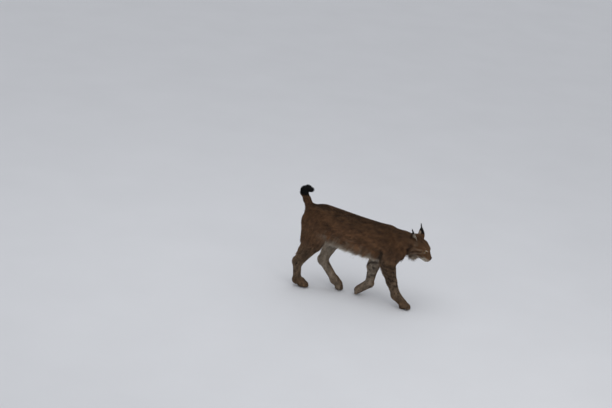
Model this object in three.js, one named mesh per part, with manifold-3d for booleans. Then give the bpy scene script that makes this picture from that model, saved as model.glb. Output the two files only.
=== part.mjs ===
// A Eurasian lynx at life size, walking with its head low and its short tail raised.
// Millimetres. +X is forwards, +Y is the animal's left, +Z is up and the floor is Z = 0.
// The coat's outer surface is one smooth field of named masses. It is netted region by region,
// so that neighbouring nodes meet face to face, and long hair is added as tapered locks.
import * as THREE from "three";
import { mergeVertices } from "three/addons/utils/BufferGeometryUtils.js";
import Module from "manifold-3d";

const wasm = await Module();
wasm.setup();
const { Manifold, Mesh } = wasm;

// Driving dimensions
const GAP = 0.3; // between touching nodes
const HARD = 0.03; // how far a cut face or a lock may move when short edges are drawn in
const SLACK = { torso: 0.9, neck: 0.6, limb: 0.5, head: 0.25 }; // how far the coat's own faces may
const SEED = 20417;
const RIGHT = -1;
const LEFT = 1;
const CELL = { torso: 27, neck: 26, head: 11.5, leg: 19, foot: 17, paw: 12.5, tail: 17, nose: 3.6 };
const SOFT = { body: 11, leg: 7, paw: 3.5, head: 5, tail: 5 }; // blend widths of the masses

// The trunk's outline: x, top, bottom, half width
const TRUNK = [
  { x: 48, top: 668, bottom: 466, half: 90 },
  { x: 120, top: 683, bottom: 426, half: 97 },
  { x: 210, top: 674, bottom: 402, half: 97 },
  { x: 320, top: 656, bottom: 386, half: 105 },
  { x: 440, top: 638, bottom: 374, half: 111 },
  { x: 555, top: 621, bottom: 363, half: 110 },
  { x: 645, top: 607, bottom: 362, half: 100 },
  { x: 705, top: 578, bottom: 388, half: 86 },
];
const RUMP_CAP = 84;
const BREAST_CAP = 72;

// The head's own frame: x along the muzzle, y left, z up, from the middle of the skull
const HEAD = { at: [878, -3, 515], pitch: 30, yaw: -8, roll: 4 };
const EYE = { at: [68, 27, 14], look: [0.84, 0.52, 0.12], radius: 13, wide: 10.5, high: 8 };
const EAR = {
  at: { [RIGHT]: [-52, 44, 36], [LEFT]: [-38, 44, 38] },
  height: 72,
  tuft: 44,
  half: 31,
  wall: 4,
  sink: 14,
  lean: { [RIGHT]: -24, [LEFT]: -32 }, // degrees forwards of the head's own upright
  splay: { [RIGHT]: 24, [LEFT]: 16 }, // degrees outwards
  turn: { [RIGHT]: 84, [LEFT]: 80 }, // degrees that the cup turns out from straight ahead
};

const LEGS = {
  foreleg_right: {
    side: RIGHT,
    bones: [
      mass([664, 56, 528], [724, 80, 474], 52, 60, 0.55),
      mass([724, 80, 474], [671, 75, 362], 60, 57, 0.62),
      mass([671, 72, 354], [708, 58, 205], 55, 38, 0.85),
      mass([708, 58, 205], [754, 50, 98], 38, 32, 0.92),
    ],
    paw: { heel: [754, 50, 98], knuckle: [818, 48, 44], tip: [870, 48, 17], pad: [820, 48, 20] },
  },
  foreleg_left: {
    side: LEFT,
    bones: [
      mass([656, 56, 528], [706, 80, 474], 52, 62, 0.55),
      mass([706, 80, 474], [582, 74, 376], 60, 54, 0.62),
      mass([582, 72, 374], [540, 56, 240], 53, 41, 0.85),
      mass([540, 56, 240], [528, 42, 120], 41, 33, 0.92),
    ],
    paw: { heel: [528, 42, 116], knuckle: [456, 36, 60], tip: [430, 36, 15], pad: [436, 36, 50] },
  },
  hindleg_right: {
    side: RIGHT,
    bones: [
      mass([71, 66, 545], [71, 74, 430], 104, 93, 0.43),
      mass([71, 74, 430], [94, 82, 376], 91, 61, 0.5),
      mass([90, 82, 370], [-26, 68, 218], 62, 40, 0.72),
      mass([-31, 67, 208], [-32, 66, 198], 40, 38, 0.8),
      mass([-34, 64, 202], [-29, 50, 52], 35, 31, 0.9),
    ],
    paw: { heel: [-29, 50, 52], knuckle: [3, 48, 40], tip: [49, 48, 17], pad: [5, 48, 20] },
  },
  hindleg_left: {
    side: LEFT,
    bones: [
      mass([78, 64, 545], [122, 72, 438], 102, 90, 0.43),
      mass([122, 72, 438], [180, 80, 388], 87, 59, 0.5),
      mass([180, 80, 384], [140, 68, 230], 60, 41, 0.72),
      mass([133, 67, 214], [131, 66, 207], 41, 39, 0.8),
      mass([135, 66, 210], [250, 46, 76], 38, 32, 0.9),
    ],
    paw: { heel: [250, 46, 76], knuckle: [276, 42, 47], tip: [304, 41, 18], pad: [278, 42, 26] },
  },
};
const TOE = { radius: 17, tip: 14.5, spacing: 17.5, setBack: 9, knuckle: 32, squash: 1.05 };

const TAIL = [
  { at: [14, 0, 616], radius: 36 },
  { at: [-27, 0, 690], radius: 25 },
  { at: [-54, 0, 744], radius: 25 },
  { at: [-56, 0, 768], radius: 25 },
  { at: [-38, 0, 788], radius: 23 },
  { at: [-14, 0, 788], radius: 17 },
];

const FUR = { root: 9 }; // how deep a lock is rooted under the coat's surface

// The nodes' limits in the XZ plane, each between two values of Y
const REGION = {
  tail: { outline: [[-80, 624], [56, 694], [56, 900], [-160, 900], [-160, 624]], y: [-90, 90] },
  hindleg_right: { outline: [[-140, 467], [196, 395], [196, 208], [-140, 208]], y: [-200, -4] },
  hindfoot_right: { outline: [[-140, 208], [80, 208], [80, 66], [-140, 66]], y: [-200, -4] },
  hindpaw_right: { outline: [[-140, 66], [110, 66], [110, 0], [-140, 0]], y: [-200, -4] },
  hindleg_left: { outline: [[-50, 462], [246, 392], [290, 216], [20, 216]], y: [4, 200] },
  hindfoot_left: { outline: [[20, 216], [290, 216], [334, 146], [188, 14]], y: [4, 200] },
  hindpaw_left: { outline: [[188, 14], [334, 146], [390, 146], [390, 0], [172.5, 0]], y: [0, 200] },
  foreleg_right: { outline: [[570, 358], [790, 358], [840, 98], [570, 98]], y: [-200, -20] },
  forepaw_right: { outline: [[620, 98], [960, 98], [960, 0], [620, 0]], y: [-200, 0] },
  foreleg_left: { outline: [[460, 358], [680, 358], [680, 36], [430, 158]], y: [20, 200] },
  forepaw_left: { outline: [[430, 158], [680, 36], [680, 0], [370, 0], [370, 158]], y: [-10, 200] },
};
const WITHERS_CUT = [698, 610];
const BREAST_CUT = [780, 420];
const NAPE_CUT = -50; // along the head's own x
const THROAT_CUT = -96; // along the head's own z
const TRUNK_REACH = [[-130, -190, 300], [900, 190, 740]];

/** A tapered, round-ended mass between two points; squash narrows it across the body. */
function mass(from, to, startRadius, endRadius, squash = 1) {
  return { from, to, startRadius, endRadius, squash };
}

/** The same mass on the other side of the body, where side is -1. */
function onSide(m, side) {
  const flip = ([x, y, z]) => [x, y * side, z];
  return { ...m, from: flip(m.from), to: flip(m.to) };
}

/** Signed distance from p to a round cone, with Y scaled about its own middle. */
function coneDistance(p, m) {
  const middle = (m.from[1] + m.to[1]) / 2;
  const [ax, az] = [m.from[0], m.from[2]];
  const ay = (m.from[1] - middle) / m.squash;
  const [bx, by, bz] = [m.to[0] - ax, (m.to[1] - middle) / m.squash - ay, m.to[2] - az];
  const [px, py, pz] = [p[0] - ax, (p[1] - middle) / m.squash - ay, p[2] - az];
  const lengthSq = bx * bx + by * by + bz * bz;
  if (lengthSq < 1e-6) return Math.hypot(px, py, pz) - m.startRadius;
  const taper = m.startRadius - m.endRadius;
  const slant = lengthSq - taper * taper;
  const along = px * bx + py * by + pz * bz;
  const beyond = along - lengthSq;
  const sx = px * lengthSq - bx * along;
  const sy = py * lengthSq - by * along;
  const sz = pz * lengthSq - bz * along;
  const across = sx * sx + sy * sy + sz * sz;
  const alongSq = along * along * lengthSq;
  const beyondSq = beyond * beyond * lengthSq;
  const k = Math.sign(taper) * taper * taper * across;
  if (Math.sign(beyond) * slant * beyondSq > k) {
    return Math.sqrt(across + beyondSq) / lengthSq - m.endRadius;
  }
  if (Math.sign(along) * slant * alongSq < k) {
    return Math.sqrt(across + alongSq) / lengthSq - m.startRadius;
  }
  return (Math.sqrt(across * slant / lengthSq) + along * taper) / lengthSq - m.startRadius;
}

/** Smooth union of distances, over a blend about as wide as width. */
function blend(distances, width) {
  const least = Math.min(...distances);
  let sum = 0;
  for (const d of distances) sum += Math.exp((least - d) / width);
  return least - width * Math.log(sum);
}

/** A smooth curve through values at stations, at x. */
function through(stations, key, x) {
  let i = 1;
  while (i < stations.length - 1 && stations[i].x < x) i += 1;
  const [a, b] = [stations[i - 1], stations[i]];
  const before = stations[i - 2] ?? a;
  const after = stations[i + 1] ?? b;
  const span = b.x - a.x;
  const t = (x - a.x) / span;
  const slopeA = (b[key] - before[key]) / (b.x - before.x) * span;
  const slopeB = (after[key] - a[key]) / (after.x - a.x) * span;
  const [t2, t3] = [t * t, t * t * t];
  return (2 * t3 - 3 * t2 + 1) * a[key] + (t3 - 2 * t2 + t) * slopeA
    + (3 * t2 - 2 * t3) * b[key] + (t3 - t2) * slopeB;
}

/** The trunk: an upright ellipse at each x, rounded off at the rump and the breast. */
function trunkDistance([px, py, pz]) {
  const [first, last] = [TRUNK[0].x, TRUNK.at(-1).x];
  const x = THREE.MathUtils.clamp(px, first, last);
  const [top, bottom] = [through(TRUNK, "top", x), through(TRUNK, "bottom", x)];
  const half = through(TRUNK, "half", x);
  const tall = (top - bottom) / 2;
  const over = px < first ? (first - px) / RUMP_CAP : Math.max(0, px - last) / BREAST_CAP;
  const n = Math.hypot((pz - (top + bottom) / 2) / tall, py / half, over);
  return (n - 1) * Math.min(tall, half);
}

const toHead = new THREE.Matrix4().makeRotationFromEuler(new THREE.Euler(
  THREE.MathUtils.degToRad(HEAD.roll),
  THREE.MathUtils.degToRad(HEAD.pitch),
  THREE.MathUtils.degToRad(HEAD.yaw),
  "ZYX",
)).setPosition(...HEAD.at);
const fromHead = toHead.clone().invert();

/** A point of the head's frame in the body's frame, as an array. */
function headPoint(at) {
  return new THREE.Vector3(...at).applyMatrix4(toHead).toArray();
}

/** A direction of the head's frame in the body's frame. */
function headDirection(way) {
  return new THREE.Vector3(...way).transformDirection(toHead);
}

/** Mirrors a mass of the head's left side, so that it stands on both. */
function paired(m) {
  return [onSide(m, LEFT), onSide(m, RIGHT)];
}

const headMasses = [
  mass([-30, 0, 4], [18, 0, 8], 56, 49, 1.12),
  mass([24, 0, 13], [56, 0, 16], 42, 29, 1.16),
  ...paired(mass([56, 25, 21], [77, 26, 22], 14, 9)),
  ...paired(mass([60, 33, -7], [26, 46, -8], 15, 27)),
  mass([68, 0, 12], [124, 0, -18], 21, 13.5, 0.95),
  mass([78, 0, -20], [113, 0, -30], 31, 23),
  ...paired(mass([106, 14, -34], [118, 13, -35], 20, 17)),
  mass([70, 0, -50], [110, 0, -53], 21, 13),
  ...paired(mass([10, 36, -32], [66, 17, -40], 31, 20)),
  ...paired(mass([2, 44, -16], [30, 44, -14], 34, 29)),
  ...paired(mass([-24, 38, -18], [0, 42, -38], 33, 27)),
];

/** The head, measured in its own frame. */
function headDistance(p) {
  const at = new THREE.Vector3(...p).applyMatrix4(fromHead).toArray();
  return blend(headMasses.map((m) => coneDistance(at, m)), SOFT.head);
}

const neckMasses = [
  mass([676, 0, 494], [766, 0, 512], 88, 72, 0.96),
  mass([766, 0, 512], [845, -2, 524], 72, 57, 1.12),
];

const tailMasses = TAIL.slice(1).map((to, i) => mass(TAIL[i].at, to.at, TAIL[i].radius, to.radius));

/** The four toes and the pads of one paw, as masses on the right or left. */
function pawMasses({ side, paw }) {
  const [heel, knuckle, tip] = [paw.heel, paw.knuckle, paw.tip].map((v) => new THREE.Vector3(...v));
  const ahead = tip.clone().sub(knuckle).normalize();
  const toes = [-1.5, -0.5, 0.5, 1.5].map((place) => {
    const back = Math.abs(place) > 1 ? TOE.setBack : 0;
    const across = new THREE.Vector3(0, place * TOE.spacing, 0);
    const start = knuckle.clone().addScaledVector(across, 0.8);
    const end = tip.clone().addScaledVector(ahead, -back).add(across);
    return mass(start.toArray(), end.toArray(), TOE.radius + 3, TOE.tip);
  });
  const palm = mass(heel.toArray(), knuckle.toArray(), 36, TOE.knuckle, TOE.squash);
  const pad = mass(paw.pad, paw.pad, 27, 27, 1.15);
  return [palm, pad, ...toes].map((m) => onSide(m, side));
}

const legParts = Object.values(LEGS).map((leg) => ({
  bones: leg.bones.map((m) => onSide(m, leg.side)),
  paw: pawMasses(leg),
}));

/** One leg with its paw. */
function legDistance(p, { bones, paw }) {
  const limb = blend(bones.map((m) => coneDistance(p, m)), SOFT.leg);
  const foot = blend(paw.map((m) => coneDistance(p, m)), SOFT.paw);
  return blend([limb, foot], SOFT.leg);
}

/** Signed distance from p to the coat's outer surface, negative inside. */
function coat(p) {
  const parts = [trunkDistance(p), headDistance(p)];
  parts.push(blend(neckMasses.map((m) => coneDistance(p, m)), SOFT.body));
  parts.push(blend(tailMasses.map((m) => coneDistance(p, m)), SOFT.tail));
  for (const leg of legParts) parts.push(legDistance(p, leg));
  return blend(parts, SOFT.body);
}

/** Outward direction of a field at p. */
function outward(field, p, step = 0.5) {
  const [x, y, z] = p;
  return new THREE.Vector3(
    field([x + step, y, z]) - field([x - step, y, z]),
    field([x, y + step, z]) - field([x, y - step, z]),
    field([x, y, z + step]) - field([x, y, z - step]),
  ).normalize();
}

/** The point where a ray from inside first leaves the coat. */
function surfaceAlong(from, way, field = coat) {
  const stride = 6;
  const at = (t) => from.map((v, i) => v + way[i] * t);
  let near = 0;
  while (field(at(near + stride)) < 0 && near < 400) near += stride;
  let far = near + stride;
  for (let i = 0; i < 12; i += 1) {
    const middle = (near + far) / 2;
    if (field(at(middle)) < 0) near = middle;
    else far = middle;
  }
  return at((near + far) / 2);
}

const CORNERS = [0, 1, 2, 3, 4, 5, 6, 7].map((n) => [n & 1, (n >> 1) & 1, n >> 2]);
const EDGES = CORNERS.flatMap((a, i) => CORNERS.map((b, j) => [i, j]).filter(([m, n]) => (
  m < n && CORNERS[m].reduce((sum, v, axis) => sum + Math.abs(v - CORNERS[n][axis]), 0) === 1
)));

/** A surface net: the field's zero level inside a box, as a closed mesh of even cells, swollen by grow. */
function netGeometry(field, low, high, cell, grow = 0) {
  const count = low.map((v, i) => Math.ceil((high[i] - v) / cell) + 1);
  const at = (i, j, k) => i + count[0] * (j + count[1] * k);
  const place = (i, j, k) => [low[0] + i * cell, low[1] + j * cell, low[2] + k * cell];
  const values = new Float64Array(count[0] * count[1] * count[2]);
  for (let k = 0; k < count[2]; k += 1) {
    for (let j = 0; j < count[1]; j += 1) {
      for (let i = 0; i < count[0]; i += 1) {
        const rim = [i, j, k].some((v, axis) => v === 0 || v === count[axis] - 1);
        values[at(i, j, k)] = rim ? cell : field(place(i, j, k));
      }
    }
  }
  const points = [];
  const pointOf = new Map();
  for (let k = 0; k < count[2] - 1; k += 1) {
    for (let j = 0; j < count[1] - 1; j += 1) {
      for (let i = 0; i < count[0] - 1; i += 1) {
        const corner = CORNERS.map(([a, b, c]) => values[at(i + a, j + b, k + c)]);
        const crossed = EDGES.filter(([m, n]) => (corner[m] < 0) !== (corner[n] < 0));
        if (crossed.length === 0) continue;
        const sum = [0, 0, 0];
        for (const [m, n] of crossed) {
          const t = corner[m] / (corner[m] - corner[n]);
          CORNERS[m].forEach((v, axis) => { sum[axis] += v + t * (CORNERS[n][axis] - v); });
        }
        pointOf.set(at(i, j, k), points.length);
        points.push(ontoSurface(field, place(...sum.map((v, axis) => v / crossed.length
          + [i, j, k][axis])), cell));
      }
    }
  }
  const faces = [];
  const axes = [[1, 0, 0], [0, 1, 0], [0, 0, 1]];
  for (let k = 0; k < count[2] - 1; k += 1) {
    for (let j = 0; j < count[1] - 1; j += 1) {
      for (let i = 0; i < count[0] - 1; i += 1) {
        const here = values[at(i, j, k)] < 0;
        axes.forEach(([a, b, c], axis) => {
          const there = values[at(i + a, j + b, k + c)] < 0;
          if (here === there) return;
          const [u, v] = [axes[(axis + 1) % 3], axes[(axis + 2) % 3]];
          const around = [[1, 1], [0, 1], [0, 0], [1, 0]].map(([m, n]) => pointOf.get(at(
            i - m * u[0] - n * v[0],
            j - m * u[1] - n * v[1],
            k - m * u[2] - n * v[2],
          )));
          faces.push(here ? around : around.reverse());
        });
      }
    }
  }
  const swollen = points.map((p) => {
    const way = outward(field, p);
    return [p[0] + way.x * grow, p[1] + way.y * grow, p[2] + way.z * grow];
  });
  return meshOf(points, faces, grow ? swollen : points);
}

/** Moves a net's point to the surface, unless it belongs to the box's own cap. */
function ontoSurface(field, p, cell) {
  let point = p;
  for (let i = 0; i < 2; i += 1) {
    const d = field(point);
    if (Math.abs(d) > cell / 2) return point;
    const way = outward(field, point);
    point = [point[0] - way.x * d, point[1] - way.y * d, point[2] - way.z * d];
  }
  return point;
}

/**
 * A geometry from points and polygons of three or four corners, each quad cut along its shorter
 * diagonal. Where the corners stand somewhere else than the points that chose it, they are given too.
 */
function meshOf(points, faces, corners = points) {
  const apart = (a, b) => Math.hypot(...points[a].map((v, i) => v - points[b][i]));
  const index = faces.flatMap(([a, b, c, d]) => {
    if (d === undefined) return [a, b, c];
    return apart(a, c) <= apart(b, d) ? [a, b, c, a, c, d] : [a, b, d, b, c, d];
  });
  const geometry = new THREE.BufferGeometry().setIndex(index);
  return geometry.setAttribute("position", new THREE.Float32BufferAttribute(corners.flat(), 3));
}

/** A closed skin over rings of points; an end of one point closes to a tip, and any other is capped. */
function ringsGeometry(rings) {
  const points = rings.flat();
  const starts = rings.map((_, i) => rings.slice(0, i).flat().length);
  const faces = [];
  for (let i = 1; i < rings.length; i += 1) {
    const [a, b] = [rings[i - 1].length, rings[i].length];
    for (let j = 0; j < Math.max(a, b); j += 1) {
      const next = (j + 1) % Math.max(a, b);
      const low = a === 1 ? [starts[i - 1]] : [starts[i - 1] + j, starts[i - 1] + next];
      const high = b === 1 ? [starts[i]] : [starts[i] + next, starts[i] + j];
      faces.push([...low, ...high]);
    }
  }
  const cap = (start, size, turn) => {
    for (let j = 1; j < size - 1; j += 1) {
      faces.push(turn ? [start, start + j + 1, start + j] : [start, start + j, start + j + 1]);
    }
  };
  cap(starts[0], rings[0].length, true);
  cap(starts.at(-1), rings.at(-1).length, false);
  return meshOf(points, faces);
}

/** A geometry as a solid that can be joined and cut. */
function solid(geometry) {
  const bare = geometry.clone();
  bare.deleteAttribute("normal");
  bare.deleteAttribute("uv");
  const merged = mergeVertices(bare, 1e-3);
  return new Manifold(new Mesh({
    numProp: 3,
    vertProperties: new Float32Array(merged.attributes.position.array),
    triVerts: new Uint32Array(merged.index.array),
  }));
}

/** A joined solid back as a geometry: its largest closed body, without the slivers that joins leave. */
function geometryOf(made, reach, soft) {
  const [largest] = made.decompose().sort((a, b) => b.volume() - a.volume());
  const { numProp, numVert, vertProperties, triVerts } = largest.getMesh();
  const points = Array.from({ length: numVert }, (_, i) => (
    new THREE.Vector3(...vertProperties.subarray(i * numProp, i * numProp + 3))));
  const faces = Array.from({ length: triVerts.length / 3 }, (_, i) => (
    [...triVerts.subarray(i * 3, i * 3 + 3)]));
  const kept = collapsed(points, faces, reach, soft);
  separate(points, kept);
  const used = [...new Set(kept.flat())];
  const place = new Map(used.map((v, i) => [v, i]));
  const geometry = new THREE.BufferGeometry().setFromPoints(used.map((v) => points[v]));
  return geometry.setIndex(kept.flat().map((v) => place.get(v)));
}

/** Moves points that share one place a little apart, each towards its own faces. */
function separate(points, faces) {
  const linked = new Map();
  for (const face of faces) {
    for (const v of face) linked.set(v, [...(linked.get(v) ?? []), ...face.filter((w) => w !== v)]);
  }
  const held = new Map();
  for (const v of linked.keys()) {
    const key = points[v].toArray().map((n) => Math.round(n * 50)).join();
    held.set(key, [...(held.get(key) ?? []), v]);
  }
  for (const shared of held.values()) {
    if (shared.length < 2) continue;
    for (const v of shared) {
      const way = linked.get(v).reduce((sum, w) => sum.add(points[w]), new THREE.Vector3());
      way.divideScalar(linked.get(v).length).sub(points[v]).setLength(HARD * 2);
      points[v].add(way);
    }
  }
}

/** Draws in edges shorter than reach, while the surface stays closed and moves less than soft. */
function collapsed(points, faces, reach, soft) {
  const around = points.map(() => new Set());
  faces.forEach((face, i) => face.forEach((v) => around[v].add(i)));
  const normalOf = ([a, b, c]) => points[b].clone().sub(points[a])
    .cross(points[c].clone().sub(points[a]));
  const limits = faces.map((face) => {
    const middle = face.reduce((sum, v) => sum.add(points[v]), new THREE.Vector3()).divideScalar(3);
    const at = middle.toArray();
    const coated = Math.abs(coat(at)) < 2 && outward(coat, at).dot(normalOf(face).normalize()) > 0.7;
    return coated ? soft : HARD;
  });
  const linked = (v) => new Set([...around[v]].flatMap((i) => faces[i]).filter((w) => w !== v));
  const drift = new Float64Array(points.length);
  let furthest = 0;
  const mayMove = (a, b) => {
    furthest = 0;
    const others = linked(b);
    if ([...linked(a)].filter((v) => others.has(v)).length !== 2) return false;
    return [...around[a]].filter((i) => !faces[i].includes(b)).every((i) => {
      const before = normalOf(faces[i]);
      const after = normalOf(faces[i].map((v) => (v === a ? b : v)));
      if (after.length() < 1e-3) return false;
      if (before.length() < 0.05) return true;
      const off = Math.abs(before.normalize().dot(points[b].clone().sub(points[a])));
      furthest = Math.max(furthest, off);
      return off + drift[a] < limits[i] && after.normalize().dot(before) > 0.5;
    });
  };
  let moved = true;
  while (moved) {
    moved = false;
    for (let a = 0; a < points.length; a += 1) {
      const near = [...linked(a)].map((b) => [points[a].distanceTo(points[b]), b])
        .filter(([length]) => length < reach).sort((m, n) => m[0] - n[0]);
      const found = near.find(([, b]) => mayMove(a, b));
      if (!found) continue;
      const b = found[1];
      drift[b] = Math.max(drift[b], drift[a] + furthest);
      for (const i of around[a]) {
        if (faces[i].includes(b)) faces[i].forEach((v) => v !== a && around[v].delete(i));
        else around[b].add(i);
        faces[i] = faces[i].includes(b) ? null : faces[i].map((v) => (v === a ? b : v));
      }
      around[a].clear();
      moved = true;
    }
  }
  return faces.filter(Boolean);
}

/** An upright prism: an outline in XZ between two values of Y, grown outwards by a margin. */
function prism({ outline, y }, margin = 0) {
  const middle = outline.reduce((sum, v) => [sum[0] + v[0], sum[1] + v[1]], [0, 0])
    .map((v) => v / outline.length);
  const sides = outline.map((a, i) => {
    const b = outline[(i + 1) % outline.length];
    const along = Math.hypot(b[0] - a[0], b[1] - a[1]);
    const out = [(b[1] - a[1]) / along, (a[0] - b[0]) / along];
    const facing = out[0] * (a[0] - middle[0]) + out[1] * (a[1] - middle[1]) < 0 ? -1 : 1;
    const normal = out.map((v) => v * facing);
    return { normal, reach: normal[0] * a[0] + normal[1] * a[1] + margin };
  });
  const corners = sides.map((side, i) => {
    const last = sides[(i + sides.length - 1) % sides.length];
    const cross = last.normal[0] * side.normal[1] - last.normal[1] * side.normal[0];
    return new THREE.Vector2(
      (last.reach * side.normal[1] - side.reach * last.normal[1]) / cross,
      (last.normal[0] * side.reach - side.normal[0] * last.reach) / cross,
    );
  });
  const depth = y[1] - y[0] + 2 * margin;
  const geometry = new THREE.ExtrudeGeometry(new THREE.Shape(corners), { depth, bevelEnabled: false });
  geometry.rotateX(Math.PI / 2).translate(0, y[1] + margin, 0);
  return solid(geometry);
}

/** Where a prism's net has to reach: its own limits and some cells more. */
function reachOf({ outline, y }, cell) {
  const [xs, zs] = [outline.map((v) => v[0]), outline.map((v) => v[1])];
  const spare = 2.5 * cell;
  return {
    low: [Math.min(...xs) - spare, y[0] - spare, Math.min(...zs) - spare],
    high: [Math.max(...xs) + spare, y[1] + spare, Math.max(...zs) + spare],
  };
}

/** The flesh and coat inside one region, cut flat half a gap inside its limits. */
function regionSolid(region, cell, grow = 0) {
  const { low, high } = reachOf(region, cell);
  const net = solid(netGeometry(coat, low, high, cell, grow));
  return net.intersect(prism(region, grow - GAP / 2));
}

/** Two of the trunk's limits: from the withers down to the breast, and behind the head. */
const neckRegion = {
  outline: [WITHERS_CUT, [WITHERS_CUT[0], 700], [1010, 700], [1010, BREAST_CUT[1] - 60],
    [BREAST_CUT[0] + 24.6, BREAST_CUT[1] - 60]],
  y: [-150, 150],
};

/** Everything in front of the nape and above the throat, as a box set square to the head. */
function headBox(margin = 0) {
  const size = 400;
  const box = new THREE.BoxGeometry(size, size, size);
  box.translate(NAPE_CUT + size / 2 - margin, 0, THROAT_CUT + size / 2 - margin);
  return solid(box.applyMatrix4(toHead));
}

let seed = SEED;
/** The next of a fixed run of draws, from 0 to 1. */
function draw() {
  seed = (seed * 1664525 + 1013904223) % 4294967296;
  return seed / 4294967296;
}

/** A flat, tapered lock that leaves the surface at root, bends towards lie, and ends in a tip. */
function lock({ root, out, lie, length, width, thick, lift = 0.4, bow = 0.3 }) {
  const flow = lie.clone().addScaledVector(out, -lie.dot(out)).normalize();
  const side = new THREE.Vector3().crossVectors(flow, out).normalize();
  const steps = [0, 0.4, 0.74, 1];
  const fullness = [0.85, 1, 0.68, 0];
  const rings = steps.map((t, i) => {
    const along = (length + FUR.root) * t;
    const middle = new THREE.Vector3(...root)
      .addScaledVector(flow, along * Math.cos(lift))
      .addScaledVector(out, along * Math.sin(lift) * (1 - bow * t) - FUR.root);
    if (i === steps.length - 1) return [middle.toArray()];
    const [w, h] = [width / 2 * fullness[i], thick / 2 * fullness[i]];
    return [[w, 0], [0, h], [-w, 0], [0, -h]].map(([m, n]) => (
      middle.clone().addScaledVector(side, m).addScaledVector(out, n).toArray()
    ));
  });
  return facingOut(rings);
}

/** A solid over rings of points, whichever way round the rings run. */
function facingOut(rings) {
  const made = solid(ringsGeometry(rings));
  return made.volume() < 0 ? solid(ringsGeometry(rings.map((ring) => [...ring].reverse()))) : made;
}

/** One lock rooted where a ray from inside meets the coat. */
function lockAt(from, way, lie, sizes) {
  const root = surfaceAlong(from, way);
  return lock({ root, out: outward(coat, root, 4), lie: new THREE.Vector3(...lie), ...sizes });
}

/** Overlapping rows of locks under the belly, from the groin to the elbows. */
function bellyLocks() {
  const rows = [-62, -22, 22, 62];
  const [start, end, step] = [205, 628, 28];
  return rows.flatMap((angle, row) => {
    const made = [];
    for (let x = start + (row % 2) * step / 2; x < end; x += step) {
      const tilt = THREE.MathUtils.degToRad(angle + 8 * (draw() - 0.5));
      const from = [x, 0, through(TRUNK, "bottom", x) + 80];
      const length = (Math.abs(angle) > 30 ? 52 : 62) * (0.88 + 0.24 * draw());
      made.push(lockAt(from, [0, Math.sin(tilt), -Math.cos(tilt)], [-0.85, 0, -0.55], {
        length, width: 38, thick: 11, lift: 0.62, bow: 0.16,
      }));
    }
    return made;
  });
}

/** Locks down the breast, in front of the forelegs. */
function breastLocks() {
  return [[430, -40], [430, 0], [430, 40], [392, -24], [392, 24]].map(([z, y]) => (
    lockAt([660, y, z], [1, y / 120, -0.1], [-0.2, 0, -1], {
      length: 52, width: 36, thick: 11, lift: 0.25, bow: 0.2,
    })));
}

/** Locks down the back edge of a limb, from one point of its middle to another. */
function fringe(line, count, { lie = [-0.35, 0, -1], ...sizes }) {
  const made = [];
  for (let i = 0; i < count; i += 1) {
    const t = (i + 0.3 + 0.4 * draw()) / count;
    const from = line[0].map((v, axis) => v + (line[1][axis] - v) * t);
    const turn = (i % 2 ? 1 : -1) * 0.35;
    made.push(lockAt(from, [-Math.cos(turn), Math.sin(turn), 0], lie, sizes));
  }
  return made;
}

/** The ruff: rows round each cheek, from the jaw to the nape, whose locks hang free of the throat. */
function ruffLocks() {
  const rows = [
    { x: 62, length: 30 }, { x: 42, length: 54 }, { x: 22, length: 76 }, { x: 2, length: 80 },
    { x: -20, length: 48 },
  ];
  return rows.flatMap(({ x, length }, row) => [LEFT, RIGHT].flatMap((side) => {
    const made = [];
    for (let angle = 22 + 8 * (row % 2); angle <= 100; angle += 15) {
      const turn = THREE.MathUtils.degToRad(angle + 4 * (draw() - 0.5));
      const way = headDirection([0, side * Math.sin(turn), -Math.cos(turn)]).toArray();
      made.push(lock({
        root: surfaceAlong(headPoint([x, 0, -10]), way),
        out: new THREE.Vector3(0.2, side, 0.25 - 0.5 * Math.cos(turn)).normalize(),
        lie: new THREE.Vector3(0.12 - 0.4 * Math.sin(turn), 0, -1),
        length: length * (0.9 + 0.2 * draw()),
        width: 23,
        thick: 9,
        lift: 0.16,
        bow: 0.7,
      }));
    }
    return made;
  }));
}

/** Hair round the tail, lying towards its tip. */
function tailLocks() {
  const made = [];
  const line = new THREE.CatmullRomCurve3(TAIL.map(({ at }) => new THREE.Vector3(...at)));
  const [stations, around] = [6, 5];
  for (let i = 0; i < stations; i += 1) {
    const t = 0.36 + 0.6 * i / (stations - 1);
    const [from, lie] = [line.getPoint(t), line.getTangent(t)];
    const across = new THREE.Vector3(-lie.z, 0, lie.x).normalize();
    for (let j = 0; j < around; j += 1) {
      const turn = (j + (i % 2) / 2) * 2 * Math.PI / around;
      const way = across.clone().multiplyScalar(Math.cos(turn));
      way.y = Math.sin(turn);
      made.push(lockAt(from.toArray(), way.toArray(), lie.toArray(), {
        length: 27, width: 21, thick: 7, lift: 0.22, bow: 0.55,
      }));
    }
  }
  return made;
}

/** An ear's own frame: base point, up along it, forwards out of the cup, and sideways. */
function earFrame(side) {
  const [lean, splay, turn] = [EAR.lean, EAR.splay, EAR.turn].map((v) => (
    THREE.MathUtils.degToRad(v[side])));
  const up = new THREE.Vector3(Math.sin(lean), side * Math.sin(splay), Math.cos(lean)).normalize();
  const ahead = new THREE.Vector3(Math.cos(turn), side * Math.sin(turn), 0);
  ahead.addScaledVector(up, -ahead.dot(up)).normalize();
  return {
    base: new THREE.Vector3(...headPoint([EAR.at[side][0], EAR.at[side][1] * side, EAR.at[side][2]])),
    up: up.transformDirection(toHead),
    ahead: ahead.transformDirection(toHead),
  };
}

/** Half the ear's width at a share of its height. */
function earHalf(t) {
  return EAR.half * Math.sqrt(Math.max(0, 1 - t)) * (0.92 + 0.75 * t * (1 - t)) + 0.4 * (1 - t);
}

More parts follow.
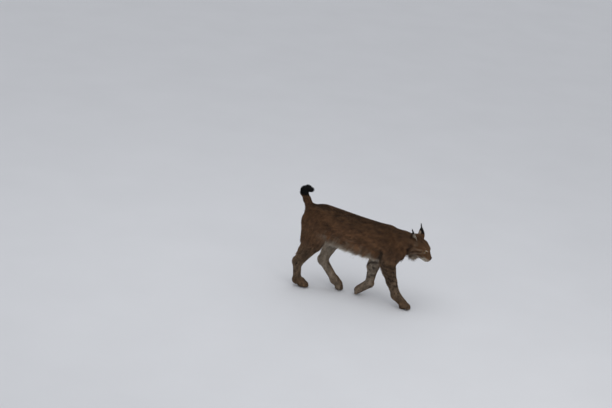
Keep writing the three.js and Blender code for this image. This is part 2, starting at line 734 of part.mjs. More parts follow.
/** One ear: a cup with a thin wall, sunk in the skull, with its tuft. */
function earSolid(side) {
  const { base, up, ahead } = earFrame(side);
  const across = new THREE.Vector3().crossVectors(up, ahead).normalize();
  const curl = 1.2;
  const steps = [-EAR.sink / EAR.height, 0.14, 0.34, 0.54, 0.72, 0.87, 0.97];
  const span = [-1, -0.66, -0.33, 0, 0.33, 0.66, 1];
  const rings = steps.map((t) => {
    const half = earHalf(Math.max(0, t));
    const at = (v, inset) => {
      const depth = half * 1.05 * (Math.cos(v * curl) - Math.cos(curl)) - inset;
      return base.clone().addScaledVector(up, EAR.height * t)
        .addScaledVector(across, half * Math.sin(v * curl) / Math.sin(curl))
        .addScaledVector(ahead, half * 0.35 - depth - 6 * t * t).toArray();
    };
    const wall = Math.min(EAR.wall, half * 0.3);
    const back = span.map((v) => at(v, -wall / 2));
    const front = [...span].reverse().map((v) => at(v, wall / 2 * (1 - 0.2 * Math.abs(v))));
    return [...back, ...front];
  });
  const cup = facingOut(rings);
  const tip = base.clone().addScaledVector(up, EAR.height * 0.86).addScaledVector(ahead, -5);
  const tufts = [-0.2, 0, 0.2].map((tilt, i) => lock({
    root: tip.clone().addScaledVector(across, tilt * 14).toArray(),
    out: up.clone().addScaledVector(across, tilt).normalize(),
    lie: ahead.clone().multiplyScalar(-1),
    length: EAR.tuft * [0.8, 1, 0.86][i],
    width: 8,
    thick: 6.5,
    lift: 1.4,
    bow: 0.02,
  }));
  return Manifold.union([cup, ...tufts]);
}

/** The eye's own axes in the body's frame: centre, look, and across. */
function eyeFrame(side) {
  const look = headDirection([EYE.look[0], EYE.look[1] * side, EYE.look[2]]);
  const across = new THREE.Vector3().crossVectors(headDirection([-0.25, side * 0.3, 1]), look).normalize();
  const up = new THREE.Vector3().crossVectors(look, across);
  const centre = new THREE.Vector3(...headPoint([EYE.at[0], EYE.at[1] * side, EYE.at[2]]));
  return { centre, place: new THREE.Matrix4().makeBasis(across, up, look).setPosition(centre) };
}

/** A ring of lid round one eye, and the shape of the opening that it frames. */
function lids(side) {
  const { place } = eyeFrame(side);
  const ring = new THREE.TorusGeometry(1, 0.23, 6, 20);
  ring.scale(EYE.wide + 2.5, EYE.high + 2.5, 13).translate(0, 0, EYE.radius * 0.72).applyMatrix4(place);
  const opening = new THREE.SphereGeometry(1, 16, 10);
  opening.scale(EYE.wide, EYE.high, 14).translate(0, 0, EYE.radius * 1.1).applyMatrix4(place);
  return { ring: solid(ring), opening: solid(opening) };
}

/** An eyeball, grown by a margin where it is used as a cutter. */
function eyeball(side, margin = 0) {
  const ball = new THREE.SphereGeometry(EYE.radius + margin, 14, 10);
  return solid(ball.applyMatrix4(eyeFrame(side).place));
}

const noseMasses = [
  mass([130, -8, -15], [130, 8, -15], 9.5, 9.5),
  mass([132, 0, -18], [130, 0, -33], 9, 4.5),
];
const nostrils = [LEFT, RIGHT].map((side) => mass([143, side * 6, -20], [133, side * 15, -17], 3, 2.4));

/** The nose pad in the body's frame, with its two nostrils. */
function nosePad(p) {
  const at = new THREE.Vector3(...p).applyMatrix4(fromHead).toArray();
  const pad = blend(noseMasses.map((m) => coneDistance(at, m)), 2);
  return Math.max(pad, ...nostrils.map((m) => -coneDistance(at, m)));
}

/** The line of the mouth: a thin plate that reaches a few millimetres into the muzzle. */
function mouthCut(cell) {
  const depth = 5;
  const plate = new THREE.BoxGeometry(70, 90, 1.8);
  plate.rotateY(THREE.MathUtils.degToRad(8)).translate(109, 0, -46).applyMatrix4(toHead);
  const middle = headPoint([100, 0, -40]);
  const low = middle.map((v) => v - 90);
  const high = middle.map((v) => v + 90);
  const inside = solid(netGeometry((p) => coat(p) + depth, low, high, cell));
  return solid(plate).subtract(inside);
}

/** The head's flesh, grown by a margin where its neighbours keep clear of it. */
function headFlesh(grow = 0) {
  const middle = headPoint([40, 0, 0]);
  return solid(netGeometry(coat, middle.map((v) => v - 150), middle.map((v) => v + 150), CELL.head, grow));
}

/** The head with its lids, eye sockets and line of mouth. */
function headSolid() {
  let made = headFlesh().intersect(headBox());
  for (const side of [LEFT, RIGHT]) made = made.add(lids(side).ring);
  for (const side of [LEFT, RIGHT]) {
    made = made.subtract(lids(side).opening).subtract(eyeball(side, GAP));
  }
  return made.subtract(mouthCut(CELL.head));
}

const looks = {
  torso: { colour: 0x6e5440, slack: SLACK.torso, reach: 42 },
  neck: { colour: 0x6e5440, slack: SLACK.neck, reach: 36 },
  head: { colour: 0x75604d, slack: SLACK.head, reach: 14 },
  limb: { colour: 0x7a5f49, slack: SLACK.limb, reach: 26 },
  nose: { colour: 0x5d3b36, roughness: 0.45, reach: 4 },
  ear: { colour: 0x4a4039 },
  eye: { colour: 0xa68a3c, roughness: 0.1 },
};

/** A named mesh of one sub-part. */
function part(name, made, { colour, slack = 0.1, reach = 6, roughness = 0.9 }) {
  const material = new THREE.MeshStandardMaterial({ color: colour, roughness, metalness: 0 });
  const mesh = new THREE.Mesh(geometryOf(made, reach, slack), material);
  mesh.name = name;
  return mesh;
}

/** The whole animal, standing on Z = 0 with the middle of its outline over the origin. */
function lynx() {
  const cellOf = (name) => {
    if (name === "tail") return CELL.tail;
    if (name.includes("paw")) return CELL.paw;
    return name.includes("foot") ? CELL.foot : CELL.leg;
  };
  const neck = regionSolid(neckRegion, CELL.neck).subtract(headBox(GAP));
  const limbs = Object.entries(REGION).map(([name, region]) => [name, regionSolid(region, cellOf(name))]);
  const others = Manifold.union(Object.values(REGION).map((region) => prism(region, GAP / 2)));
  const trunkFlesh = (grow) => solid(netGeometry(coat, TRUNK_REACH[0], TRUNK_REACH[1], CELL.torso, grow));
  const trunk = trunkFlesh(0).subtract(prism(neckRegion, GAP)).subtract(headBox(GAP)).subtract(others);

  const grownNeck = regionSolid(neckRegion, CELL.neck, SLACK.neck + GAP).subtract(headBox());
  const grownTrunk = trunkFlesh(SLACK.torso).subtract(prism(neckRegion));
  const ruff = Manifold.union(ruffLocks()).subtract(grownNeck).subtract(grownTrunk);
  const headGrown = headFlesh(GAP + SLACK.head);

  const forelock = { length: 40, width: 28, thick: 9, lift: 0.25, bow: 0.25 };
  const thighLock = { length: 46, width: 32, thick: 10, lift: 0.25, bow: 0.25 };
  const fringes = {
    foreleg_right: fringe([[676, -72, 345], [704, -58, 225]], 5, forelock),
    foreleg_left: fringe([[574, 70, 345], [542, 56, 250]], 5, forelock),
    hindleg_right: fringe([[72, -76, 430], [20, -74, 290]], 6, thighLock),
    hindleg_left: fringe([[132, 74, 425], [168, 74, 300]], 6, thighLock),
    tail: tailLocks(),
  };
  const legsGrown = Manifold.union(limbs.map(([name]) => prism(REGION[name], GAP)));
  const hanging = Manifold.union([...bellyLocks(), ...breastLocks()]).subtract(legsGrown)
    .subtract(prism(neckRegion, GAP)).subtract(headBox(GAP));

  const root = new THREE.Group();
  root.add(part("torso", trunk.add(hanging), looks.torso));
  root.add(part("neck", neck, looks.neck));
  root.add(part("head", headSolid().add(ruff), looks.head));
  const above = prism({ outline: [[-200, 461], [900, 352], [900, 900], [-200, 900]], y: [-300, 300] });
  for (const [name, made] of limbs) {
    const locks = Manifold.union(fringes[name] ?? []);
    root.add(part(name, made.add(name === "tail" ? locks : locks.subtract(above)), looks.limb));
  }
  const pad = solid(netGeometry(nosePad, ...noseReach(), CELL.nose));
  root.add(part("nose", pad.subtract(headGrown), looks.nose));
  for (const [name, side] of [["left", LEFT], ["right", RIGHT]]) {
    root.add(part(`ear_${name}`, earSolid(side).subtract(headGrown), looks.ear));
    root.add(part(`eye_${name}`, eyeball(side), looks.eye));
  }
  const box = new THREE.Box3().setFromObject(root);
  const middle = box.getCenter(new THREE.Vector3());
  root.position.set(-middle.x, -middle.y, -box.min.z);
  return root;
}

/** The limits of the nose pad's net. */
function noseReach() {
  const middle = headPoint([131, 0, -20]);
  return [middle.map((v) => v - 34), middle.map((v) => v + 34)];
}

export default lynx();
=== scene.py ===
"""A life-size Eurasian lynx in mid-walk: skin, coat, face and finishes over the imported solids."""

import logging
import math
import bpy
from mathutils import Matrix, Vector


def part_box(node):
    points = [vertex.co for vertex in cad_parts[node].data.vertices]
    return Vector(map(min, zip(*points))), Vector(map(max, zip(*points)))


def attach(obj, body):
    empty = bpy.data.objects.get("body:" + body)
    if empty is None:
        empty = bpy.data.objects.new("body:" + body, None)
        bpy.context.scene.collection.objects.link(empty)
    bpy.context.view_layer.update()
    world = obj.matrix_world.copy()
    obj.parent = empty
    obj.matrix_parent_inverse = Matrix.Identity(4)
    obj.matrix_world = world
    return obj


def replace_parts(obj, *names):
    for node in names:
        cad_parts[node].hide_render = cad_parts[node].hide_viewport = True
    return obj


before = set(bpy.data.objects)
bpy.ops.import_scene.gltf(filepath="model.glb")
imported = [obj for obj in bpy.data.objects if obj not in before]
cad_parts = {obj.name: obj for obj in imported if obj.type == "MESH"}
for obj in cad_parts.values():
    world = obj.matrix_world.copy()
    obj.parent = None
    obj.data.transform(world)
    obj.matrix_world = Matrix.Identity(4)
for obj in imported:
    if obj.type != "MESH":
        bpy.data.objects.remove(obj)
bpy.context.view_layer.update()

from concurrent.futures import ThreadPoolExecutor
from contextlib import contextmanager
from dataclasses import dataclass, field
from enum import Enum
from functools import partial
from typing import Callable, Iterator, Sequence

import bpy
import numpy as np
from mathutils import Matrix, Vector

log = logging.getLogger("lynx")

MM = 0.001
BAKE_MAP = "OFBake"
UNWRAP_ANGLE = math.radians(66)
UNWRAP_GAP = 0.002
IMAGE_SIZE = (612, 408)
SEED = 4127

Array = np.ndarray
Piece = bpy.types.Object
Finish = bpy.types.Material
Vec = tuple[float, float, float]
Pair = tuple[float, float]


class Side(Enum):
    """Which flank a paired piece stands on."""

    RIGHT = -1
    LEFT = 1

    @property
    def word(self) -> str:
        """Its name in lower case."""
        return self.name.lower()


class Area(Enum):
    """The stretches of coat that are laid as pieces of their own."""

    TRUNK = "trunk"
    NECK = "neck"
    HEAD = "head"
    TAIL = "tail"
    FORELEG_RIGHT = "foreleg_right"
    FORELEG_LEFT = "foreleg_left"
    HINDLEG_RIGHT = "hindleg_right"
    HINDLEG_LEFT = "hindleg_left"

    @property
    def side(self) -> int:
        """A leg's side: -1 on the right, 1 on the left."""
        return Side[self.name.split("_")[1]].value


def srgb(code: str) -> Array:
    """Turns a hex colour as seen on a screen into linear light.

    Args:
        code: The colour as "#rrggbb".

    Returns:
        Its red, green and blue in linear light.
    """
    seen = np.array([int(code[i : i + 2], 16) / 255 for i in (1, 3, 5)])
    return np.where(seen <= 0.04045, seen / 12.92, ((seen + 0.055) / 1.055) ** 2.4)


def unit(vectors: Array) -> Array:
    """Scales vectors to length one."""
    length = np.linalg.norm(vectors, axis=-1, keepdims=True)
    return vectors / np.maximum(length, 1e-9)


def lengths(vectors: Array) -> Array:
    """The length of each row."""
    return np.linalg.norm(vectors, axis=1)


def between(values: Array, low: float, high: float) -> Array:
    """Which values lie between low and high."""
    return (values > low) & (values < high)


def ramp(values: Array, low: float, high: float) -> Array:
    """Rises smoothly from 0 at low to 1 at high, also where low is the larger."""
    t = np.clip((values - low) / (high - low), 0, 1)
    return t * t * (3 - 2 * t)


def mix(first: Array, second: Array, share: Array) -> Array:
    """Blends two colours, or rows of colours, by a share for each row."""
    share = np.asarray(share)[..., None]
    return first * (1 - share) + second * share


def lit(colours: Array, least: float = 0.003) -> Array:
    """Colours held between nearly black and white."""
    return np.clip(colours, least, 1)


def turned(yaw: float, pitch: float, roll: float) -> Array:
    """A rotation by roll about X, then pitch about Y, then yaw about Z, in degrees."""
    made = Matrix.Identity(3)
    for degrees, axis in ((yaw, "Z"), (pitch, "Y"), (roll, "X")):
        made = made @ Matrix.Rotation(math.radians(degrees), 3, axis)
    return np.array(made)


# Patterns drawn from hashed lattices, so that skin and coat find the same mark at the same place.


def hashed(cells: Array, seed: int) -> Array:
    """A fixed random number from 0 to 1 for each whole-numbered cell."""
    c = cells.astype(np.int64)
    h = (c[..., 0] * 73856093) ^ (c[..., 1] * 19349663) ^ (c[..., 2] * 83492791) ^ (seed * 2654435761)
    h &= 0xFFFFFFFF
    h = ((h ^ (h >> 15)) * 2246822519) & 0xFFFFFFFF
    h = ((h ^ (h >> 13)) * 3266489917) & 0xFFFFFFFF
    return ((h ^ (h >> 16)) & 0xFFFFFF) / float(0xFFFFFF)


def mottle(points: Array, grain: Vec | float, seed: int = 1, octaves: int = 2) -> Array:
    """Soft random patches.

    Args:
        points: Places in mm.
        grain: How large a patch is in mm, along each axis or all round.
        seed: Which pattern to draw.
        octaves: How many layers, each half as large as the last.

    Returns:
        A value from about -1 to 1 for each point.
    """
    total = np.zeros(len(points))
    weight = 0.0
    for octave in range(octaves):
        scaled = points / np.asarray(grain, float) * 2**octave + 17.3 * octave
        base = np.floor(scaled)
        t = scaled - base
        t = t * t * (3 - 2 * t)
        value = np.zeros(len(points))
        for corner in np.ndindex(2, 2, 2):
            share = np.prod(np.where(np.array(corner) == 1, t, 1 - t), axis=1)
            value += share * hashed(base + np.array(corner), seed + octave)
        total += (2 * value - 1) / 2**octave
        weight += 1 / 2**octave
    return total / weight * 1.6


def neighbours(scaled: Array, seed: int) -> Iterator[tuple[Array, Array, Array]]:
    """Gives the 27 cells round each place: the cell, the random point in it and how far off that is."""
    base = np.floor(scaled)
    for step in np.ndindex(3, 3, 3):
        near = base + np.array(step) - 1
        centre = near + np.stack([hashed(near, seed + i) for i in range(3)], axis=1)
        yield near, centre, lengths(scaled - centre)


def spots(points: Array, cell: float, size: Pair, seed: int) -> Array:
    """Scattered round marks.

    Args:
        points: Places in mm.
        cell: Distance between marks in mm.
        size: Least and greatest radius in mm.
        seed: Which pattern to draw.

    Returns:
        1 inside a mark, falling to 0 over its soft edge.
    """
    made = np.zeros(len(points))
    for near, _, reach in neighbours(points / cell, seed):
        radius = size[0] + (size[1] - size[0]) * hashed(near, seed + 5)
        made = np.maximum(made, ramp(reach * cell, radius * 1.25, radius * 0.75))
    return made


def gathered(points: Array, cell: Array, seed: int) -> tuple[Array, Array]:
    """Sorts places into locks of hair.

    Args:
        points: Places in mm.
        cell: Distance between locks in mm, for each place.
        seed: Which pattern to draw.

    Returns:
        The middle of the nearest lock, and how far off it is as a share of the cell.
    """
    cell = np.asarray(cell, float).reshape(-1, 1)
    middle, gap = np.zeros_like(points), np.full(len(points), 9.0)
    for _, centre, reach in neighbours(points / cell, seed):
        closer = reach < gap
        middle[closer], gap[closer] = centre[closer], reach[closer]
    return middle * cell, gap


# The lynx's form: named masses in mm, +X the way it walks, +Y its left, from the floor up.


@dataclass(frozen=True)
class Fur:
    """One kind of coat, in mm.

    Attributes:
        depth: How far the skin lies under the coat's outer surface.
        length: How long a tuft is.
        width: How wide a tuft is.
        spacing: Distance from one root to the next.
        wild: How far a tuft strays from the lie of the coat, as a share.
        lift: How far its tip would rise over the skin if it grew straight.
    """

    depth: float
    length: float
    width: float
    spacing: float
    wild: float
    lift: float


BACK = Fur(8, 33, 2.55, 3.15, 0.2, 21.5)
MANE = Fur(7, 33, 2.4, 3.0, 0.22, 21.5)
THIGH = Fur(7, 27, 2.35, 3.0, 0.18, 17.8)
SHANK = Fur(4, 15, 1.75, 2.3, 0.15, 10.5)
PAW = Fur(3, 10, 1.5, 2.0, 0.15, 7)
BRUSH = Fur(5, 27, 2.1, 2.35, 0.26, 18)
CROWN = Fur(3.5, 13, 1.25, 1.85, 0.15, 8.8)
CHEEK = Fur(5, 18, 1.4, 1.9, 0.2, 10.8)
FACE = Fur(2.6, 7.5, 0.95, 1.4, 0.13, 5.2)
MUZZLE = Fur(1.5, 4.2, 0.7, 1.1, 0.13, 2.9)

# The trunk's stations: x, height of the back, height of the belly, half width.
TRUNK = (
    (48, 668, 466, 90), (120, 683, 426, 97), (210, 674, 402, 97), (320, 656, 386, 105),
    (440, 638, 374, 111), (555, 626, 363, 110), (645, 618, 362, 100), (705, 593, 384, 86),
)

# The tail's middle line: a place and the radius there.
TAIL = (
    ((14, 0, 616), 36), ((-27, 0, 690), 25), ((-55, 0, 742), 25),
    ((-57, 0, 763), 25), ((-38, 0, 780), 23), ((-14, 0, 778), 18),
)

# The head's masses in its own frame: fur, lie, from, to, radii and squash; first those on the middle line.
HEAD_BACK, CHEEK_LIE, CHIN_LIE = (-1, 0, 0.22), (-0.85, 0.2, -0.5), (-0.8, 0, -0.55)
HEAD_MIDDLE = (
    (CROWN, HEAD_BACK, (-30, 0, 4), (18, 0, 8), (56, 49), 1.12),
    (FACE, HEAD_BACK, (24, 0, 19), (58, 0, 24), (44, 30), 1.12),
    (MUZZLE, (-1, 0, 0.35), (67, 0, 19), (124, 0, -17), (22, 13.5), 0.95),
    (MUZZLE, (-1, 0, -0.1), (78, 0, -20), (113, 0, -30), (31, 23), 1),
    (FACE, CHIN_LIE, (66, 0, -56), (109, 0, -57), (22, 14), 1),
)
HEAD_SIDES = (
    (FACE, HEAD_BACK, (56, 25, 21), (77, 26, 22), (14, 9), 1),
    (FACE, (-1, 0.3, -0.1), (60, 33, -7), (26, 46, -8), (15, 27), 1),
    (MUZZLE, (-1, 0.3, -0.2), (106, 14, -34), (118, 13, -35), (20, 17), 1),
    (CHEEK, CHEEK_LIE, (10, 36, -32), (66, 17, -40), (31, 20), 1),
    (CHEEK, CHEEK_LIE, (2, 44, -16), (30, 44, -14), (34, 29), 1),
    (CHEEK, CHEEK_LIE, (-24, 38, -18), (0, 42, -38), (33, 27), 1),
)

# Each leg's bones (from, to, radii, squash) from the top, and its paw (heel, knuckle, toe tip, pad).
LEGS = {
    Area.FORELEG_RIGHT: ((
        ((664, 56, 528), (733, 80, 465), (52, 66), 0.55), ((733, 80, 465), (676, 75, 362), (66, 58), 0.62),
        ((676, 72, 354), (715, 58, 205), (57, 41), 0.85), ((715, 58, 205), (760, 50, 98), (41, 34), 0.9),
    ), ((758, 50, 98), (820, 48, 44), (870, 48, 17), (820, 48, 20))),
    Area.FORELEG_LEFT: ((
        ((656, 56, 528), (706, 80, 474), (52, 62), 0.55), ((706, 80, 474), (574, 74, 376), (60, 59), 0.62),
        ((574, 72, 374), (534, 56, 240), (57, 43), 0.85), ((534, 56, 240), (523, 42, 112), (43, 32), 0.92),
    ), ((523, 42, 107), (452, 36, 48), (430, 36, 15), (438, 36, 38))),
    Area.HINDLEG_RIGHT: ((
        ((68, 66, 545), (67, 74, 430), (104, 93), 0.43), ((71, 74, 430), (90, 82, 384), (91, 57), 0.5),
        ((84, 82, 376), (-26, 68, 218), (56, 43), 0.72), ((-34, 67, 208), (-36, 66, 198), (40, 38), 0.8),
        ((-38, 64, 202), (-32, 50, 52), (35, 31), 0.9), ((34, 76, 395), (-6, 70, 290), (46, 35), 0.6),
    ), ((-32, 50, 52), (3, 48, 43), (49, 48, 17), (5, 48, 20))),
    Area.HINDLEG_LEFT: ((
        ((78, 64, 545), (122, 72, 438), (102, 90), 0.43), ((122, 72, 438), (202, 80, 396), (87, 65), 0.5),
        ((192, 80, 388), (135, 68, 230), (63, 38), 0.72), ((128, 67, 214), (126, 66, 207), (41, 39), 0.8),
        ((128, 66, 210), (243, 46, 76), (37, 31), 0.9),
    ), ((243, 46, 76), (278, 42, 51), (304, 41, 18), (278, 42, 26))),
}


class Form:
    """Anything that can tell how far points lie outside it, and what coat it carries."""

    def distance(self, points: Array, found: list[Array]) -> Array:
        """Signed distances in mm; each mass also adds its own to found."""
        raise NotImplementedError

    def leaves(self) -> list["Coated"]:
        """The masses in the order in which distance adds to found."""
        raise NotImplementedError


@dataclass
class Coated(Form):
    """A form that carries coat of its own.

    Attributes:
        fur: The kind of coat.
        lie: The way that the coat lies, in the body's frame.
        area: The stretch of coat that it belongs to.
    """

    fur: Fur
    lie: Vec
    area: Area

    def leaves(self) -> list["Coated"]:
        """Just this form."""
        return [self]


@dataclass
class Mass(Coated):
    """A round cone of flesh, with Y scaled about its own middle."""

    start: Vec = (0, 0, 0)
    end: Vec = (0, 0, 0)
    radii: Pair = (1, 1)
    squash: float = 1.0

    def distance(self, points: Array, found: list[Array]) -> Array:
        """Signed distances to the round cone."""
        middle = (self.start[1] + self.end[1]) / 2
        scale = np.array([1, self.squash, 1])
        base = (np.array(self.start) - (0, middle, 0)) / scale
        bone = (np.array(self.end) - (0, middle, 0)) / scale - base
        rel = (points - (0, middle, 0)) / scale - base
        first, last = self.radii
        length_sq = bone @ bone
        if length_sq < 1e-6:
            made = lengths(rel) - first
            found.append(made)
            return made
        taper = first - last
        slant = length_sq - taper * taper
        along = rel @ bone
        beyond = along - length_sq
        across = (rel * length_sq - bone * along[:, None]) ** 2
        across = across.sum(axis=1)
        k = np.sign(taper) * taper * taper * across
        end_cap = np.sign(beyond) * slant * beyond**2 * length_sq > k
        start_cap = np.sign(along) * slant * along**2 * length_sq < k
        made = (np.sqrt(across * slant / length_sq) + along * taper) / length_sq - first
        made = np.where(start_cap, np.sqrt(across + along**2 * length_sq) / length_sq - first, made)
        made = np.where(end_cap, np.sqrt(across + beyond**2 * length_sq) / length_sq - last, made)
        found.append(made)
        return made


def soft_least(parts: Sequence[Array], width: float) -> Array:
    """Joins distances into one form, over a seam about as wide as width."""
    stack = np.stack(parts)
    least = stack.min(axis=0)
    return least - width * np.log(np.exp((least - stack) / width).sum(axis=0))


@dataclass
class Joined(Form):
    """Forms that run into each other over a soft seam."""

    forms: list[Form]
    width: float

    def distance(self, points: Array, found: list[Array]) -> Array:
        """Signed distances to the joined form."""
        return soft_least([form.distance(points, found) for form in self.forms], self.width)

    def leaves(self) -> list[Coated]:
        """The masses of all the forms."""
        return [leaf for form in self.forms for leaf in form.leaves()]


@dataclass(frozen=True)
class Place:
    """A turned and moved frame, such as the head's."""

    at: Vec
    yaw: float = 0
    pitch: float = 0
    roll: float = 0

    @property
    def turn(self) -> Array:
        """The rotation of the frame."""
        return turned(self.yaw, self.pitch, self.roll)

    def out(self, points: Array) -> Array:
        """Points of this frame in the body's frame."""
        return np.asarray(points, float) @ self.turn.T + self.at

    def inside(self, points: Array) -> Array:
        """Points of the body's frame in this frame."""
        return (np.asarray(points, float) - self.at) @ self.turn

    def way(self, vectors: Array) -> Array:
        """Directions of this frame in the body's frame."""
        return np.asarray(vectors, float) @ self.turn.T


@dataclass
class Placed(Joined):
    """Joined forms that are measured in a frame of their own."""

    place: Place = Place((0, 0, 0))

    def distance(self, points: Array, found: list[Array]) -> Array:
        """Signed distances to the joined form, for points of the body's frame."""
        return super().distance(self.place.inside(points), found)


@dataclass(frozen=True)
class Station:
    """The trunk's outline at one x, in mm."""

    x: float
    top: float
    bottom: float
    half: float


@dataclass
class Barrel(Coated):
    """The trunk: an upright ellipse at each x, rounded off at the rump and the breast."""

    stations: list[Station] = field(default_factory=list)
    rump_cap: float = 84
    breast_cap: float = 72

    def through(self, key: str, x: Array) -> Array:
        """A smooth curve through one size of the stations, at x."""
        xs = np.array([s.x for s in self.stations])
        ys = np.array([getattr(s, key) for s in self.stations])
        i = np.clip(np.searchsorted(xs, x, side="left"), 1, len(xs) - 1)
        a, b = i - 1, i
        before, after = np.maximum(a - 1, 0), np.minimum(b + 1, len(xs) - 1)
        span = xs[b] - xs[a]
        t = (x - xs[a]) / span
        slope_a = (ys[b] - ys[before]) / (xs[b] - xs[before]) * span
        slope_b = (ys[after] - ys[a]) / (xs[after] - xs[a]) * span
        t2, t3 = t * t, t**3
        return (
            (2 * t3 - 3 * t2 + 1) * ys[a]
            + (t3 - 2 * t2 + t) * slope_a
            + (3 * t2 - 2 * t3) * ys[b]
            + (t3 - t2) * slope_b
        )

    def height_share(self, points: Array) -> Array:
        """How high points lie in the trunk: 0 at the belly line, 1 at the back line."""
        x = np.clip(points[:, 0], self.stations[0].x, self.stations[-1].x)
        top, bottom = self.through("top", x), self.through("bottom", x)
        return (points[:, 2] - bottom) / (top - bottom)

    def distance(self, points: Array, found: list[Array]) -> Array:
        """Signed distances to the trunk."""
        first, last = self.stations[0].x, self.stations[-1].x
        x = np.clip(points[:, 0], first, last)
        top, bottom, half = (self.through(key, x) for key in ("top", "bottom", "half"))
        tall = (top - bottom) / 2
        over = np.where(
            points[:, 0] < first,
            (first - points[:, 0]) / self.rump_cap,
            np.maximum(0, points[:, 0] - last) / self.breast_cap,
        )
        rel = np.stack([(points[:, 2] - (top + bottom) / 2) / tall, points[:, 1] / half, over])
        made = (np.linalg.norm(rel, axis=0) - 1) * np.minimum(tall, half)
        found.append(made)
        return made


@dataclass(frozen=True)
class Eye:
    """One eye's place on the head, and the almond slit between its lids, in mm.

    Attributes:
        centre: Middle of the ball.
        axes: The ways to the outer corner, up and along the gaze, as columns.
        radius: Radius of the ball.
        inner: How far the slit runs to the inner corner.
        outer: How far it runs to the outer corner.
        high: How far it opens to each side of its long axis.
        spread: How little the hair round it turns outwards, along the slit and across.
    """

    centre: Array
    axes: Array
    radius: float
    inner: float = 12.5
    outer: float = 10.6
    high: float = 7.4
    spread: Pair = (140, 60)

    def local(self, points: Array) -> Array:
        """Points of the body's frame in the eye's own."""
        return (points - self.centre) @ self.axes

    def slit(self, local: Array) -> Array:
        """How far places lie outside the slit, seen along the gaze."""
        wide = np.where(local[:, 0] < 0, self.inner, self.outer)
        share = np.clip(np.abs(local[:, 0]) / wide, 0, 1)
        brow = np.where(local[:, 1] > 0, 0.9, 1.0) * self.high * (1 - share**2) ** 0.72
        return np.maximum(np.abs(local[:, 1]) - brow, np.abs(local[:, 0]) - wide)

    def outward(self, local: Array) -> Array:
        """The way from the slit across the lids, in the body's frame."""
        flat = local[:, :2] / self.spread
        return unit(flat) @ self.axes[:, :2].T


